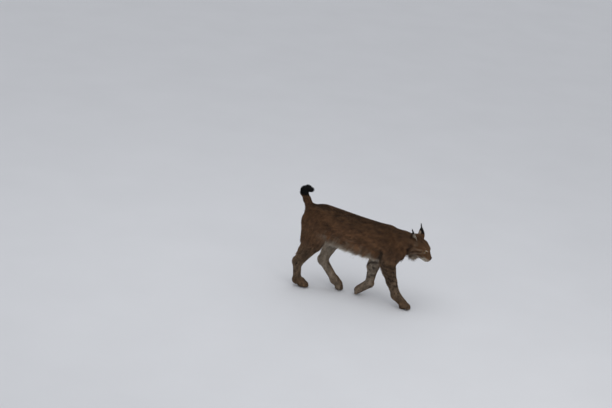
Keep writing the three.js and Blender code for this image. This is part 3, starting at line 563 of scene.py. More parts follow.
@dataclass
class Animal:
    """The lynx's whole form, in its walking pose, with the places of its features.

    Attributes:
        head: The head's frame.
        eye: Centre of the left eye's solid in the head's frame, in mm.
        gaze: The way that the left eye looks, in the head's frame.
        eye_radius: Radius of an eyeball in mm.
        eye_depth: How far the ball sits behind the middle of its solid.
        eye_tilt: How far the outer corner stands above the inner one, in degrees.
        lid: How far the lids stand over the ball.
        lid_reach: How many radii from an eye's middle the lids are shaped.
        lid_seam: Width in mm over which a lid runs into the face.
        pocket: How deep under the ball's surface the slit is cut.
        longest_step: How far in mm a point may move at once.
        lean: How far whole clumps of coat lean aside, as a share.
        lean_size: How large such a clump is in mm.
        seam: Width in mm over which the large forms run into each other.
        tight_seam: The same for the parts of the head and the tail.
        blend_width: How far in mm one mass's coat runs over into the next.
        chunk: How many points are measured at once.
    """

    head: Place = Place((878, -3, 515), yaw=-8, pitch=30, roll=4)
    eye: Vec = (68, 27, 14)
    gaze: Vec = (0.84, 0.52, 0.12)
    eye_radius: float = 12.3
    eye_depth: float = 3.0
    eye_tilt: float = 16
    lid: float = 1.3
    lid_reach: float = 2.2
    lid_seam: float = 2.0
    pocket: float = 1.2
    longest_step: float = 9
    lean: float = 0.2
    lean_size: float = 30.0
    seam: float = 11
    tight_seam: float = 5
    blend_width: float = 15
    chunk: int = 8000
    trunk: Barrel = field(init=False)
    flesh: Joined = field(init=False)

    def __post_init__(self) -> None:
        """Builds the masses from their sizes."""
        self.trunk = self.make_trunk()
        legs = [self.make_leg(area, *LEGS[area]) for area in LEGS]
        neck = [
            Mass(MANE, (-1, 0, -0.32), Area.NECK, (664, 0, 508), (766, 0, 522), (92, 68), 0.96),
            Mass(MANE, (-1, 0, -0.3), Area.NECK, (766, 0, 522), (845, -2, 531), (68, 57), 1.14),
        ]
        parts = [self.trunk, self.make_head(), Joined(neck, self.seam), self.make_tail(), *legs]
        self.flesh = Joined(parts, self.seam)
        self.eyes = {side: self.make_eye(side.value) for side in Side}
        leaves = self.flesh.leaves()
        self.depths = np.array([leaf.fur.depth for leaf in leaves])
        self.lies = unit(np.array([leaf.lie for leaf in leaves], float))
        self.areas = [leaf.area for leaf in leaves]
        furs = [leaf.fur for leaf in leaves]
        self.furs = np.array([[f.length, f.width, f.spacing, f.wild, f.lift] for f in furs])

    @staticmethod
    def make_trunk() -> Barrel:
        """The trunk from rump to breast."""
        return Barrel(BACK, (-1, 0, -0.3), Area.TRUNK, [Station(*size) for size in TRUNK])

    def make_head(self) -> Placed:
        """The skull, brows, muzzle, chin, jaws and cheeks."""
        made: list[Form] = []
        for side in (0, Side.LEFT.value, Side.RIGHT.value):
            for fur, lie, start, end, radii, squash in HEAD_SIDES if side else HEAD_MIDDLE:
                flip = np.array([1, side or 1, 1])
                way = tuple(self.head.way(np.array(lie) * flip))
                ends = [tuple(np.array(at) * flip) for at in (start, end)]
                made.append(Mass(fur, way, Area.HEAD, *ends, radii, squash))
        return Placed(made, self.tight_seam, self.head)

    def make_tail(self) -> Joined:
        """The short tail, held up with its end curled forwards."""
        made: list[Form] = []
        for (start, first), (end, last) in zip(TAIL, TAIL[1:]):
            lie = tuple(np.subtract(end, start))
            made.append(Mass(BRUSH, lie, Area.TAIL, start, end, (first, last)))
        return Joined(made, self.tight_seam)

    @staticmethod
    def make_leg(area: Area, bones: Sequence[tuple], paw: Sequence[Vec]) -> Joined:
        """One leg with its four toes.

        Args:
            area: The stretch of coat that the leg is.
            bones: Start, end, radii and squash of each mass of the limb, from the top.
            paw: Heel, knuckle, toe tip and pad.

        Returns:
            The joined form.
        """
        flip = np.array([1, area.side, 1])

        def grown(fur: Fur, lie: Sequence[float], start: Vec, end: Vec, radii: tuple, squash: float) -> Mass:
            """A mass on this leg's side of the body."""
            flipped = [tuple(np.array(at) * flip) for at in (lie, start, end)]
            return Mass(fur, flipped[0], area, flipped[1], flipped[2], radii, squash)

        furs = [THIGH, THIGH, SHANK, SHANK, SHANK, THIGH]
        limb: list[Form] = []
        for fur, (start, end, radii, squash) in zip(furs, bones):
            lie = unit(np.subtract(end, start).astype(float)) + (-0.35, 0, -0.2)
            limb.append(grown(fur, lie, start, end, radii, squash))
        heel, knuckle, tip, pad = (np.array(at, float) for at in paw)
        ahead = unit(tip - knuckle)
        foot: list[Form] = [
            grown(SHANK, knuckle - heel, heel, knuckle, (36, 32), 1.05),
            grown(PAW, ahead, pad, pad, (27, 27), 1.15),
        ]
        for place in (-1.5, -0.5, 0.5, 1.5):
            across = np.array([0, place * 17.5, 0])
            end = tip - ahead * (9 if abs(place) > 1 else 0) + across
            foot.append(grown(PAW, ahead, knuckle + across * 0.8, end, (20, 14.5), 1))
        return Joined([Joined(limb, 7), Joined(foot, 3.5)], 7)

    def survey(self, points: Array) -> tuple[Array, Array]:
        """Measures points in chunks that fit the processor's cache.

        Args:
            points: Places in mm.

        Returns:
            Distances to the coat's outer surface in mm, and how much each mass has to say at each point.
        """

        def one(chunk: Array) -> tuple[Array, Array]:
            """Measures one chunk."""
            found: list[Array] = []
            outer = self.flesh.distance(chunk, found)
            stack = np.stack(found, axis=1)
            weight = np.exp((stack.min(axis=1, keepdims=True) - stack) / self.blend_width)
            return outer, weight / weight.sum(axis=1, keepdims=True)

        with ThreadPoolExecutor(4) as pool:
            parts = list(pool.map(one, np.array_split(points, max(1, len(points) // self.chunk))))
        return np.concatenate([p[0] for p in parts]), np.concatenate([p[1] for p in parts])

    def shares(self, points: Array) -> Array:
        """How much each mass has to say at each point."""
        return self.survey(points)[1]

    def area_share(self, shares: Array, *areas: Area) -> Array:
        """How much some areas have to say together."""
        return shares[:, [area in areas for area in self.areas]].sum(axis=1)

    def eye_solid(self, side: int) -> Array:
        """Centre of an eye's solid, in the body's frame."""
        return self.head.out(np.array(self.eye) * np.array([1, side, 1]))

    def make_eye(self, side: int) -> Eye:
        """One eye's place and axes."""
        gaze = unit(self.head.way(np.array(self.gaze) * np.array([1, side, 1])))
        up = self.head.way(np.array([0.1, 0.25 * side, 1.0]))
        up = unit(up - gaze * (up @ gaze))
        across = np.cross(up, gaze) * side
        turn = math.radians(self.eye_tilt)
        wide = across * math.cos(turn) + up * math.sin(turn)
        high = up * math.cos(turn) - across * math.sin(turn)
        axes = np.stack([wide, high, gaze], axis=1)
        return Eye(self.eye_solid(side) - gaze * self.eye_depth, axes, self.eye_radius)

    def skin_level(self, points: Array) -> Array:
        """Distance to the skin, which makes lids over each eyeball and leaves its slit open."""
        outer, shares = self.survey(points)
        level = outer + shares @ self.depths
        for eye in self.eyes.values():
            near = lengths(points - eye.centre) < self.lid_reach * eye.radius
            local = eye.local(points[near])
            reach = lengths(local)
            part = soft_least([level[near], reach - eye.radius - self.lid], self.lid_seam)
            pocket = np.maximum(eye.slit(local), eye.radius - self.pocket - reach)
            level[near] = np.maximum(part, np.where(local[:, 2] > 0, -pocket, -np.inf))
        return level

    def slope(self, level: Callable, points: Array, step: float = 0.6) -> tuple[Array, Array]:
        """A level's value and the way in which it grows, at each point."""
        value = level(points)
        ways = [level(points + step * axis) - value for axis in np.eye(3)]
        return value, np.stack(ways, axis=1) / step

    def settle(self, points: Array, rounds: int, level: Callable | None = None) -> Array:
        """Moves points straight onto the skin.

        Args:
            points: Places in mm.
            rounds: How many steps to take.
            level: The distance to settle on; the skin's where none is given.

        Returns:
            The moved points.
        """
        for _ in range(rounds):
            value, way = self.slope(level or self.skin_level, points)
            size = np.maximum((way**2).sum(axis=1), 0.15)
            move = way * (value / size)[:, None]
            reach = np.linalg.norm(move, axis=1, keepdims=True)
            points = points - move * np.minimum(1, self.longest_step / np.maximum(reach, 1e-9))
        return points

    def lie_at(self, points: Array, normals: Array, shares: Array) -> Array:
        """The way the coat lies along the skin, with the lean that clumps share."""
        way = shares @ self.lies
        lean = np.stack([mottle(points, self.lean_size, seed) for seed in (31, 37, 41)], axis=1)
        way = unit(way) + self.lean * lean
        way = way - normals * (way * normals).sum(axis=1, keepdims=True)
        return unit(way)


# Markings and painted shade, one rule for the skin and for each tuft.

# Lines on the cheeks, from x and z to x and z in the head's frame, and how wide.
PALE_STROKES = (
    ((-14, 34), (-4, 24), 9), ((46, 14), (2, 0), 5),
    ((54, -8), (-2, -30), 5), ((42, -34), (-2, -52), 5),
)
DARK_STROKES = (
    ((54, 3), (-4, -18), 3.6), ((46, -22), (-8, -43), 4.0), ((30, -45), (-6, -60), 4.0),
    ((-30, 8), (-16, 3), 7.0), ((-46, -4), (-26, -12), 9.0),
)
# Painted shade in the hollow behind the near elbow: its middle and its reach along each axis.
PAINTED_ELBOW_SHADE, PAINTED_ELBOW_SHADE_REACH = (629, -92, 418), (15, 60, 50)


@dataclass(frozen=True)
class Pelt:
    """The coat's colours, as seen in soft daylight."""

    russet: str = "#6E4F36"
    umber: str = "#4A3624"
    fawn: str = "#98816A"
    cream: str = "#D6CBBA"
    soot: str = "#0E0C0C"
    spot: str = "#2A1D14"
    grey: str = "#7C6852"
    rust: str = "#745237"

    def shade(self, name: str) -> Array:
        """One colour in linear light."""
        return srgb(getattr(self, name))


@dataclass
class Markings:
    """Colours every place of the coat from where it is on the animal, painted shade included."""

    animal: Animal
    pelt: Pelt = Pelt()

    def layers(self, colour: Array, *coats: tuple[str, Array]) -> Array:
        """Lays colours of the pelt over a first one, each by a share for each place."""
        for name, share in coats:
            colour = mix(colour, self.pelt.shade(name), share)
        return colour

    def trunk(self, points: Array, normals: Array) -> Array:
        """Back line, curly flanks with painted shade between the curls, faint spots and the pale belly."""
        high = self.animal.trunk.height_share(points)
        high = high + 0.04 * mottle(points, (70, 40, 40), 3)
        colour = self.layers(
            self.pelt.shade("russet"),
            ("umber", ramp(high, 0.6, 0.95) * 0.7),
            ("spot", ramp(high, 0.88, 1.0) * 0.5),
        )
        # Wavy streaks over the trunk: partly the coat's own tone, partly painted shade between its curls.
        streak = mottle(points, (50, 18, 17), 5, 2) + 0.7 * mottle(points, (22, 14, 11), 7, 2)
        colour = colour * (1 + (0.42 + 0.22 * ramp(high, 0.7, 0.35)) * streak).clip(0.25)[:, None]
        marks = spots(points, 38, (5, 9), 11) * ramp(high, 0.1, 0.25) * ramp(high, 0.98, 0.8)
        clump = ramp(mottle(points, (30, 18, 13), 8), 0.05, 0.7)
        ragged = high + 0.08 * mottle(points, (26, 20, 16), 18)
        under = ramp(normals[:, 2], -0.8, -0.96)
        groin = ramp(points[:, 0], 250, 150) * ramp(points[:, 0], 60, 120) * ramp(high, 0.3, 0.2)
        pale = np.maximum.reduce([ramp(ragged, 0.17, 0.05), under, 0.7 * groin])
        return self.layers(
            colour,
            ("spot", 0.5 * marks),
            ("fawn", 0.55 * clump * ramp(high, 0.62, 0.25)),
            ("fawn", ramp(ragged, 0.33, 0.12) * 0.75),
            ("cream", pale * 0.92),
        )

    def leg(self, points: Array, normals: Array, area: Area) -> Array:
        """A leg: brown outside, paler inside, with small spots, bars and brown paws."""
        height = points[:, 2]
        inner = ramp(-area.side * normals[:, 1] - 0.12 * normals[:, 0], 0.1, 0.75)
        colour = self.layers(
            self.pelt.shade("russet"),
            ("umber", 0.12 + 0.4 * mottle(points, (18, 18, 30), 6)),
            ("grey", 0.7 * ramp(height, 470, 250)),
            ("fawn", 0.6 * ramp(height, 260, 190) * ramp(height, 60, 110)),
        )
        pale = self.layers(self.pelt.shade("fawn"), ("cream", 0.5 + 0.45 * ramp(height, 290, 430)))
        colour = mix(colour, pale, inner * (0.9 - 0.5 * ramp(height, 230, 60)))
        edge = ramp(normals[:, 0], 0.35, 0.85) * ramp(height, 340, 260) * ramp(height, 60, 130)
        marks = spots(points, 23, (4.5, 7.5), 23) * ramp(height, 480, 400) * ramp(height, 60, 130)
        colour = self.layers(colour, ("fawn", 0.5 * edge), ("spot", 0.9 * marks * (1 - 0.6 * inner)))
        if area is Area.FORELEG_RIGHT:
            colour = self.layers(colour, ("spot", self.fore_bars(points)))
        if area is Area.FORELEG_LEFT:
            colour = self.layers(colour, ("spot", self.far_foreleg_bars(points, normals)))
        clump = mottle(points, (12, 12, 22), 9) + 0.6 * mottle(points, (26, 26, 34), 10)
        return colour * (1 + 0.3 * clump).clip(0.3)[:, None]

    @staticmethod
    def fore_bars(points: Array) -> Array:
        """Short dark bars across a forearm."""
        wave = np.sin((points[:, 2] + 0.35 * points[:, 0] + 8 * mottle(points, 30.0, 14)) / 5.4)
        reach = ramp(points[:, 2], 380, 340) * ramp(points[:, 2], 120, 190)
        return 0.88 * ramp(wave, 0.1, 0.7) * reach * ramp(mottle(points, 26.0, 15), -0.3, 0.2)

    def far_foreleg_bars(self, points: Array, normals: Array) -> Array:
        """The left foreleg's bars, with the dark band across its inner side."""
        band = ramp(np.abs(points[:, 2] - 300 - 0.15 * (points[:, 0] - 560)), 17, 8)
        smudge = 0.75 * spots(points, 40, (6, 11), 29) * ramp(points[:, 2], 270, 240)
        inside = ramp(-normals[:, 1], 0.1, 0.5)
        return np.maximum.reduce([0.75 * band * inside, smudge * inside, self.fore_bars(points)])

    def tail(self, points: Array, normals: Array) -> Array:
        """Brown, with a black tip."""
        line = points[:, 2] + 0.25 * (points[:, 0] + 56) + 3 * mottle(points, 9.0, 13)
        brown = ("umber", 0.5 + 0.4 * mottle(points, 18.0, 12))
        return self.layers(self.pelt.shade("rust"), brown, ("soot", ramp(line, 716, 730)))

    def neck(self, points: Array, normals: Array) -> Array:
        """Brown above, with a paler throat and painted shade of folds on the sides."""
        colour = self.layers(self.pelt.shade("russet"), ("umber", 0.3 + 0.5 * ramp(normals[:, 2], 0.3, 0.95)))
        # Random lighter and darker patches: painted shade of the folds on the neck's sides.
        colour = colour * (1 + 0.3 * mottle(points, (30, 18, 18), 17, 3))[:, None]
        return self.layers(colour, ("fawn", 0.6 * ramp(normals[:, 2], -0.35, -0.9)))

    def head(self, points: Array, normals: Array) -> Array:
        """The face: pale lips, chin and eye rims, dark cheek streaks, crown lines and mouth."""
        at = self.animal.head.inside(points)
        facing = normals @ self.animal.head.turn
        x, z = at[:, 0], at[:, 2]
        y = np.abs(at[:, 1])
        crown = ramp(facing[:, 2], 0.35, 0.85)
        lines = ramp(np.sin(y / 3.6 + 0.6 * mottle(points, 24.0, 20)), 0.2, 0.8) * ramp(x, 70, 40)
        pale = ramp(z, -36, -48) * ramp(x, 30, 56)
        lips = ramp(x, 78, 94) * ramp(z, -20, -29) * np.maximum(ramp(y, 6, 12), ramp(z, -28, -32))
        colour = self.layers(
            self.pelt.shade("rust"),
            ("grey", 0.3 + 0.3 * mottle(points, 20.0, 19)),
            ("umber", crown * (0.3 + 0.5 * lines)),
            ("fawn", 0.5 * ramp(z, -16, -44) * ramp(x, 60, 20)),
            *(("fawn", 0.6 * self.stroke(at, *line)) for line in PALE_STROKES),
            *(("soot", 0.7 * self.stroke(at, *line)) for line in DARK_STROKES),
            ("umber", 0.5 * ramp(x, 84, 104) * ramp(z, -24, -14)),
            ("cream", np.maximum(pale * 0.75, lips * 0.5)),
            ("soot", 0.8 * ramp(y, 1.8, 0.7) * ramp(x, 118, 124) * ramp(z, -27, -30)),
        )
        rows = ramp(np.sin((z + 0.2 * x) / 1.3), 0.3, 0.8) * ramp(x, 92, 100) * ramp(np.abs(z + 33), 12, 8)
        mouth = ramp(np.abs(z + 46 + (x - 109) * math.tan(math.radians(8))), 2.6, 1.2) * ramp(x, 74, 80)
        return self.layers(
            self.round_eyes(colour, points),
            ("soot", 0.45 * self.stroke(at, (80, 7), (92, -7), 2.4)),
            ("spot", 0.5 * rows * ramp(y, 12, 16)),
            ("soot", 0.9 * mouth),
        )

    def round_eyes(self, colour: Array, points: Array) -> Array:
        """Dark lid rims, with a pale patch above and below each eye."""
        for eye in self.animal.eyes.values():
            local = eye.local(points)
            slit, front = eye.slit(local), local[:, 2] > 2
            over = ramp(np.abs(local[:, 1]), 5, 9) * ramp(np.abs(local[:, 0]), 14, 8)
            pale = ramp(slit, 9, 6) * ramp(slit, 2.4, 4) * over * front
            rim = 0.92 * ramp(slit, 3.2, 1.6) * front
            colour = self.layers(colour, ("cream", 0.75 * pale), ("soot", rim))
        return colour

    @staticmethod
    def stroke(at: Array, start: Pair, end: Pair, width: float) -> Array:
        """A soft line on both cheeks, from its x and z in the head's frame."""
        here = at[:, [0, 2]] - start
        bone = np.subtract(end, start)
        t = np.clip(here @ bone / (bone @ bone), 0, 1)
        gap = lengths(here - t[:, None] * bone)
        return ramp(gap, width * 1.5, width * 0.7)

    def colour(self, points: Array, normals: Array, shares: Array) -> Array:
        """The coat's colour at points of the skin, with painted shade in the hollow behind the near elbow.

        Args:
            points: Places in mm.
            normals: Outward directions.
            shares: Each mass's say, from the animal's survey.

        Returns:
            Linear red, green and blue for each point.
        """
        rules = {Area.TRUNK: self.trunk, Area.NECK: self.neck, Area.HEAD: self.head, Area.TAIL: self.tail}
        rules |= {area: partial(self.leg, area=area) for area in LEGS}
        total = np.zeros((len(points), 3))
        for area, rule in rules.items():
            share = self.animal.area_share(shares, area)
            near = share > 0.01
            if near.any():
                total[near] += rule(points[near], normals[near]) * share[near, None]
        # Painted shade: the coat darkens in the hollow behind the near elbow.
        gap = lengths((points - PAINTED_ELBOW_SHADE) / PAINTED_ELBOW_SHADE_REACH)
        return np.clip(total * (1 - 0.78 * ramp(gap, 1.3, 0.6))[:, None], 0.002, 1)


# Meshes.


@dataclass
class Shop:
    """Puts meshes in the scene, in metres and in the solids' frame.

    Attributes:
        offset: Where the body's frame stands in the solids' frame, in mm.
    """

    offset: Array

    @classmethod
    def fitted(cls, animal: Animal) -> "Shop":
        """Finds the offset from the right eyeball, which both frames hold."""
        low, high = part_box("eye_right")
        centre = (np.array(low) + np.array(high)) / 2 / MM
        return cls(centre - animal.eye_solid(Side.RIGHT.value))

    @property
    def floor(self) -> float:
        """Height of the floor in the body's frame."""
        return 0.2 - float(self.offset[2])

    def metres(self, points: Array) -> Array:
        """Points of the body's frame, in the scene."""
        return (points + self.offset) * MM

    def millimetres(self, points: Array) -> Array:
        """Points of the scene, in the body's frame."""
        return points / MM - self.offset

    def places(self, piece: Piece) -> Array:
        """A mesh's points, in the body's frame."""
        return self.millimetres(points_of(piece))

    def move(self, piece: Piece, points: Array) -> None:
        """Moves a mesh's points to places in mm."""
        piece.data.vertices.foreach_set("co", self.metres(points).astype(np.float32).ravel())
        piece.data.update()

    def mesh(self, name: str, points: Array, faces: Array) -> Piece:
        """A smooth mesh from points in mm and faces of equal size.

        Args:
            name: Name of the piece.
            points: Places in mm.
            faces: Rows of point numbers.

        Returns:
            The new object.
        """
        mesh = bpy.data.meshes.new(name)
        count, sides = faces.shape
        mesh.vertices.add(len(points))
        mesh.vertices.foreach_set("co", self.metres(points).astype(np.float32).ravel())
        mesh.loops.add(count * sides)
        mesh.loops.foreach_set("vertex_index", faces.astype(np.int32).ravel())
        mesh.polygons.add(count)
        mesh.polygons.foreach_set("loop_start", np.arange(0, count * sides, sides, dtype=np.int32))
        mesh.update(calc_edges=True)
        mesh.polygons.foreach_set("use_smooth", np.full(count, True))
        return put_in_scene(name, mesh)


def read(items: bpy.types.bpy_prop_collection, key: str, width: int, kind: type = np.float32) -> Array:
    """One value of each of a mesh's points, edges, faces or corners, as rows."""
    values = np.zeros(len(items) * width, kind)
    items.foreach_get(key, values)
    return values.reshape(-1, width)


def points_of(piece: Piece) -> Array:
    """A mesh's points, in metres."""
    return read(piece.data.vertices, "co", 3).astype(float)


def normals_of(piece: Piece) -> Array:
    """The outward direction at each of a mesh's points."""
    return read(piece.data.vertices, "normal", 3).astype(float)


def triangles_of(piece: Piece) -> tuple[Array, Array]:
    """A mesh's triangles as point numbers, and as corner numbers."""
    piece.data.calc_loop_triangles()
    triangles = piece.data.loop_triangles
    return read(triangles, "vertices", 3, np.int32), read(triangles, "loops", 3, np.int32)


def put_in_scene(name: str, data: bpy.types.ID) -> Piece:
    """A new object of the scene."""
    made = bpy.data.objects.new(name, data)
    bpy.context.scene.collection.objects.link(made)
    return made


def tube(rings: int, sides: int) -> list[tuple[int, int, int]]:
    """Triangles of an open tube, from rings of so many points, one ring after another."""
    made = []
    for i in range(rings - 1):
        low, high = i * sides, (i + 1) * sides
        for j in range(sides):
            k = (j + 1) % sides
            made += [(low + j, low + k, high + k), (low + j, high + k, high + j)]
    return made


def paint(piece: Piece, colours: Array) -> None:
    """Stores a linear colour for each point of a piece."""
    layer = piece.data.color_attributes.new("Coat", "FLOAT_COLOR", "POINT")
    full = np.ones((len(colours), 4), np.float32)
    full[:, :3] = colours
    layer.data.foreach_set("color", full.ravel())


def lay_out(piece: Piece, corners: Array) -> None:
    """Stores the bake's own map, one place for each corner of each face."""
    layer = piece.data.uv_layers.new(name=BAKE_MAP)
    layer.data.foreach_set("uv", corners.astype(np.float32).ravel())


def new_ball(name: str, segments: int, rings: int) -> Piece:
    """A ball of radius one."""
    bpy.ops.object.select_all(action="DESELECT")
    bpy.ops.mesh.primitive_uv_sphere_add(segments=segments, ring_count=rings, radius=1)
    ball = bpy.context.view_layer.objects.active
    ball.name = ball.data.name = name
    return ball


def pick(piece: Piece) -> None:
    """Selects one object and nothing else."""
    bpy.ops.object.select_all(action="DESELECT")
    bpy.context.view_layer.objects.active = piece
    piece.select_set(True)


def remesh(piece: Piece, voxel_mm: float) -> None:
    """Turns a piece into one closed net of even cells."""
    pick(piece)
    modifier = piece.modifiers.new("Remesh", "REMESH")
    modifier.mode = "VOXEL"
    modifier.voxel_size = voxel_mm * MM
    modifier.use_smooth_shade = True
    bpy.ops.object.modifier_apply(modifier=modifier.name)


@contextmanager
def edited(piece: Piece, action: str = "SELECT") -> Iterator[None]:
    """Opens a piece in edit mode with all of it selected or nothing, and closes it after the work."""
    pick(piece)
    bpy.ops.object.mode_set(mode="EDIT")
    bpy.ops.mesh.select_all(action=action)
    yield
    bpy.ops.object.mode_set(mode="OBJECT")


def face_outwards(piece: Piece) -> None:
    """Turns all of a closed piece's faces outwards."""
    with edited(piece):
        bpy.ops.mesh.normals_make_consistent(inside=False)


def unwrap(piece: Piece) -> None:
    """Unwraps a piece by its own shape, into the bake's map."""
    piece.data.uv_layers.new(name=BAKE_MAP)
    with edited(piece):
        bpy.ops.uv.smart_project(angle_limit=UNWRAP_ANGLE, island_margin=UNWRAP_GAP)


@dataclass
class Roots:
    """Places on a skin where tufts grow.

    Attributes:
        points: Places in mm.
        normals: Outward directions.
        uv: Places on the skin's unwrap.
        shares: Each mass's say at each place, or nothing on an ear.
    """

    points: Array
    normals: Array
    uv: Array
    shares: Array

    def chosen(self, which: Array) -> "Roots":
        """Some of the roots."""
        return Roots(self.points[which], self.normals[which], self.uv[which], self.shares[which])

    def flat(self, ways: Array, share: float = 1.0) -> Array:
        """Directions with their part along the normals taken out, or a share of it."""
        return unit(ways - share * self.normals * (ways * self.normals).sum(axis=1, keepdims=True))


@dataclass
class Hide:
    """A skin's surface, ready to be sown with roots."""

    points: Array
    normals: Array
    triangles: Array
    uv: Array

    @classmethod
    def of(cls, piece: Piece, shop: Shop) -> "Hide":
        """Reads a finished skin with its unwrap."""
        points, (triangles, loops) = shop.places(piece), triangles_of(piece)
        uv = read(piece.data.uv_layers[BAKE_MAP].data, "uv", 2)
        return cls(points, normals_of(piece), triangles, uv[loops])

    def middles(self) -> Array:
        """The middle of each triangle."""
        return self.points[self.triangles].mean(axis=1)

    def sow(self, spacing: Array | float, seed: int) -> Roots:
        """Spreads roots evenly.

        Args:
            spacing: Distance from root to root in mm, for each triangle or for all.
            seed: Start of the random draws.

        Returns:
            The roots, with no shares yet.
        """
        rng = np.random.default_rng(seed)
        a, b, c = self.points[self.triangles].transpose(1, 0, 2)
        area = lengths(np.cross(b - a, c - a)) / 2
        spacing = np.broadcast_to(spacing, len(area))
        wanted = np.cumsum(area / spacing**2) + rng.random()
        count = np.diff(np.floor(wanted), prepend=0).astype(int)
        chosen = np.repeat(np.arange(len(area)), count)
        a, b = rng.random(len(chosen)), rng.random(len(chosen))
        flip = a + b > 1
        a, b = np.where(flip, 1 - a, a), np.where(flip, 1 - b, b)
        weights = np.stack([1 - a - b, a, b], axis=1)[:, :, None]
        triangles = self.triangles[chosen]
        places = (self.points[triangles] * weights).sum(axis=1)
        normals = unit((self.normals[triangles] * weights).sum(axis=1))
        return Roots(places, normals, (self.uv[chosen] * weights).sum(axis=1), np.zeros((len(chosen), 0)))


@dataclass
class Growth:
    """How each of a set of tufts grows from its root.

    Attributes:
        flow: The way each lies along the skin.
        length: Lengths in mm.
        width: Widths in mm.
        rise: How steeply each leaves the skin, in radians.
        droop: How far each tip is drawn towards down, as a share of its length.
        colour: Colour at the root.
        tip: Colour at the tip.
    """

    flow: Array
    length: Array
    width: Array
    rise: Array
    droop: Array
    colour: Array
    tip: Array

    def chosen(self, which: Array) -> "Growth":
        """The growth of some of the tufts."""
        return Growth(*(getattr(self, key)[which] for key in Growth.__dataclass_fields__))


@dataclass
class Barber:
    """Turns roots and growth into closed, three-sided, tapered tufts.

    Attributes:
        patch: Half the width of each tuft's patch on the unwrap.
        sunk: How far the roots lie under the skin in mm.
        bend: How much of its rise a tuft has lost at its tip, as a share.
    """

    shop: Shop
    patch: float = 0.0015
    sunk: float = 1.0
    bend: float = 0.55

    def tufts(self, name: str, roots: Roots, growth: Growth, joints: int) -> Piece:
        """One mesh of many tufts.

        Args:
            name: Name of the piece.
            roots: Where the tufts grow.
            growth: How they grow.
            joints: How many bends each has; none gives four triangles a tuft.

        Returns:
            The piece, with its colours and its OFBake map.
        """
        count = len(roots.points)
        across = unit(np.cross(growth.flow, roots.normals))
        rings = joints + 1
        steps = np.arange(rings) / rings
        fullness = np.array([0.8] + [1.0 - 0.62 * (i / rings) ** 1.6 for i in range(1, rings)])
        base = roots.points - roots.normals * self.sunk
        down = np.array([0, 0, -1.0])

        def centre(t: float) -> Array:
            """The tuft's middle line at a share of its length."""
            bend = growth.rise * (1 - self.bend * t)
            reach = (growth.length * t)[:, None]
            way = growth.flow * np.cos(bend)[:, None] + roots.normals * np.sin(bend)[:, None]
            return base + way * reach + down * (growth.droop * growth.length * t * t)[:, None]

        points = np.zeros((count, rings * 3 + 1, 3))
        places = np.zeros((count, rings * 3 + 1, 2))
        colours = np.zeros((count, rings * 3 + 1, 3))
        for i, (t, full) in enumerate(zip(steps, fullness)):
            middle = centre(t)
            half = (growth.width * full / 2)[:, None]
            for j, (side, lift) in enumerate(((1, -0.25), (-1, -0.25), (0, 0.5))):
                points[:, i * 3 + j] = middle + across * half * side + roots.normals * half * lift
                places[:, i * 3 + j] = roots.uv + self.patch * np.array([side, 2 * t - 1])
                # Painted shade: each tuft darkens towards its root, where the coat shades it, and painted
                # light makes its outer ridge a little lighter.
                shade = mix(growth.colour, growth.tip, np.full(count, t))
                colours[:, i * 3 + j] = shade * (0.55 + 0.45 * min(1, t * 2.2 + 0.1 * (j == 2)))
        points[:, -1] = centre(1.0)
        places[:, -1] = roots.uv + self.patch * np.array([0, 1])
        colours[:, -1] = growth.tip
        local = [(0, 2, 1), *tube(rings, 3)]
        last = (rings - 1) * 3
        local += [(last + j, last + (j + 1) % 3, rings * 3) for j in range(3)]
        faces = np.array(local)
        all_faces = (np.arange(count)[:, None, None] * (rings * 3 + 1) + faces).reshape(-1, 3)
        a, b, c = points[0][faces].transpose(1, 0, 2)
        if np.einsum("ij,ij->i", a, np.cross(b, c)).sum() < 0:
            all_faces = all_faces[:, ::-1]
        points[..., 2] = np.maximum(points[..., 2], self.shop.floor)
        piece = self.shop.mesh(name, points.reshape(-1, 3), all_faces)
        paint(piece, colours.reshape(-1, 3))
        lay_out(piece, places.reshape(-1, 2)[all_faces.ravel()])
        return piece


# Finishes.


def node(tree: bpy.types.NodeTree, kind: str, inputs: dict = {}, **settings: object) -> bpy.types.Node:
    """Adds a shader node.

    Args:
        tree: The node tree.
        kind: The node's type.
        inputs: For each input, a plain value or the output that feeds it.
        settings: The node's own settings.

    Returns:
        The new node.
    """
    made = tree.nodes.new(kind)
    for key, value in settings.items():
        setattr(made, key, value)
    for key, value in inputs.items():
        if isinstance(value, bpy.types.NodeSocket):
            tree.links.new(value, made.inputs[key])
        else:
            made.inputs[key].default_value = value
    return made


def colour4(code: str) -> tuple[float, float, float, float]:
    """A hex colour as a socket takes it."""
    return (*srgb(code), 1.0)


def new_material(name: str, numbers: dict[str, float]) -> tuple:
    """Starts a material.

    Args:
        name: Name of the material.
        numbers: Its shader's plain numbers, each under its socket's name.

    Returns:
        The material, its tree, its Principled shader and the object's own coordinates in metres.
    """
    made = bpy.data.materials.new(name)
    made.use_nodes = True
    shader = made.node_tree.nodes["Principled BSDF"]
    for key, value in numbers.items():
        shader.inputs[key].default_value = value
    return made, made.node_tree, shader, node(made.node_tree, "ShaderNodeTexCoord").outputs["Object"]


def tone(shader: bpy.types.Node, colour: object, pattern: bpy.types.Node, low: float, high: float) -> None:
    """Colours a shader, lighter and darker along a pattern.

    Args:
        shader: The shader.
        colour: A colour, or the output that gives it.
        pattern: A noise node.
        low: Brightness where the pattern is 0, as a share.
        high: Brightness where it is 1.
    """
    tree = shader.id_data
    inputs = {"Value": pattern.outputs["Fac"], "To Min": low, "To Max": high}
    value = node(tree, "ShaderNodeMapRange", inputs).outputs[0]
    made = node(tree, "ShaderNodeHueSaturation", {"Color": colour, "Value": value})
    tree.links.new(made.outputs["Color"], shader.inputs["Base Color"])


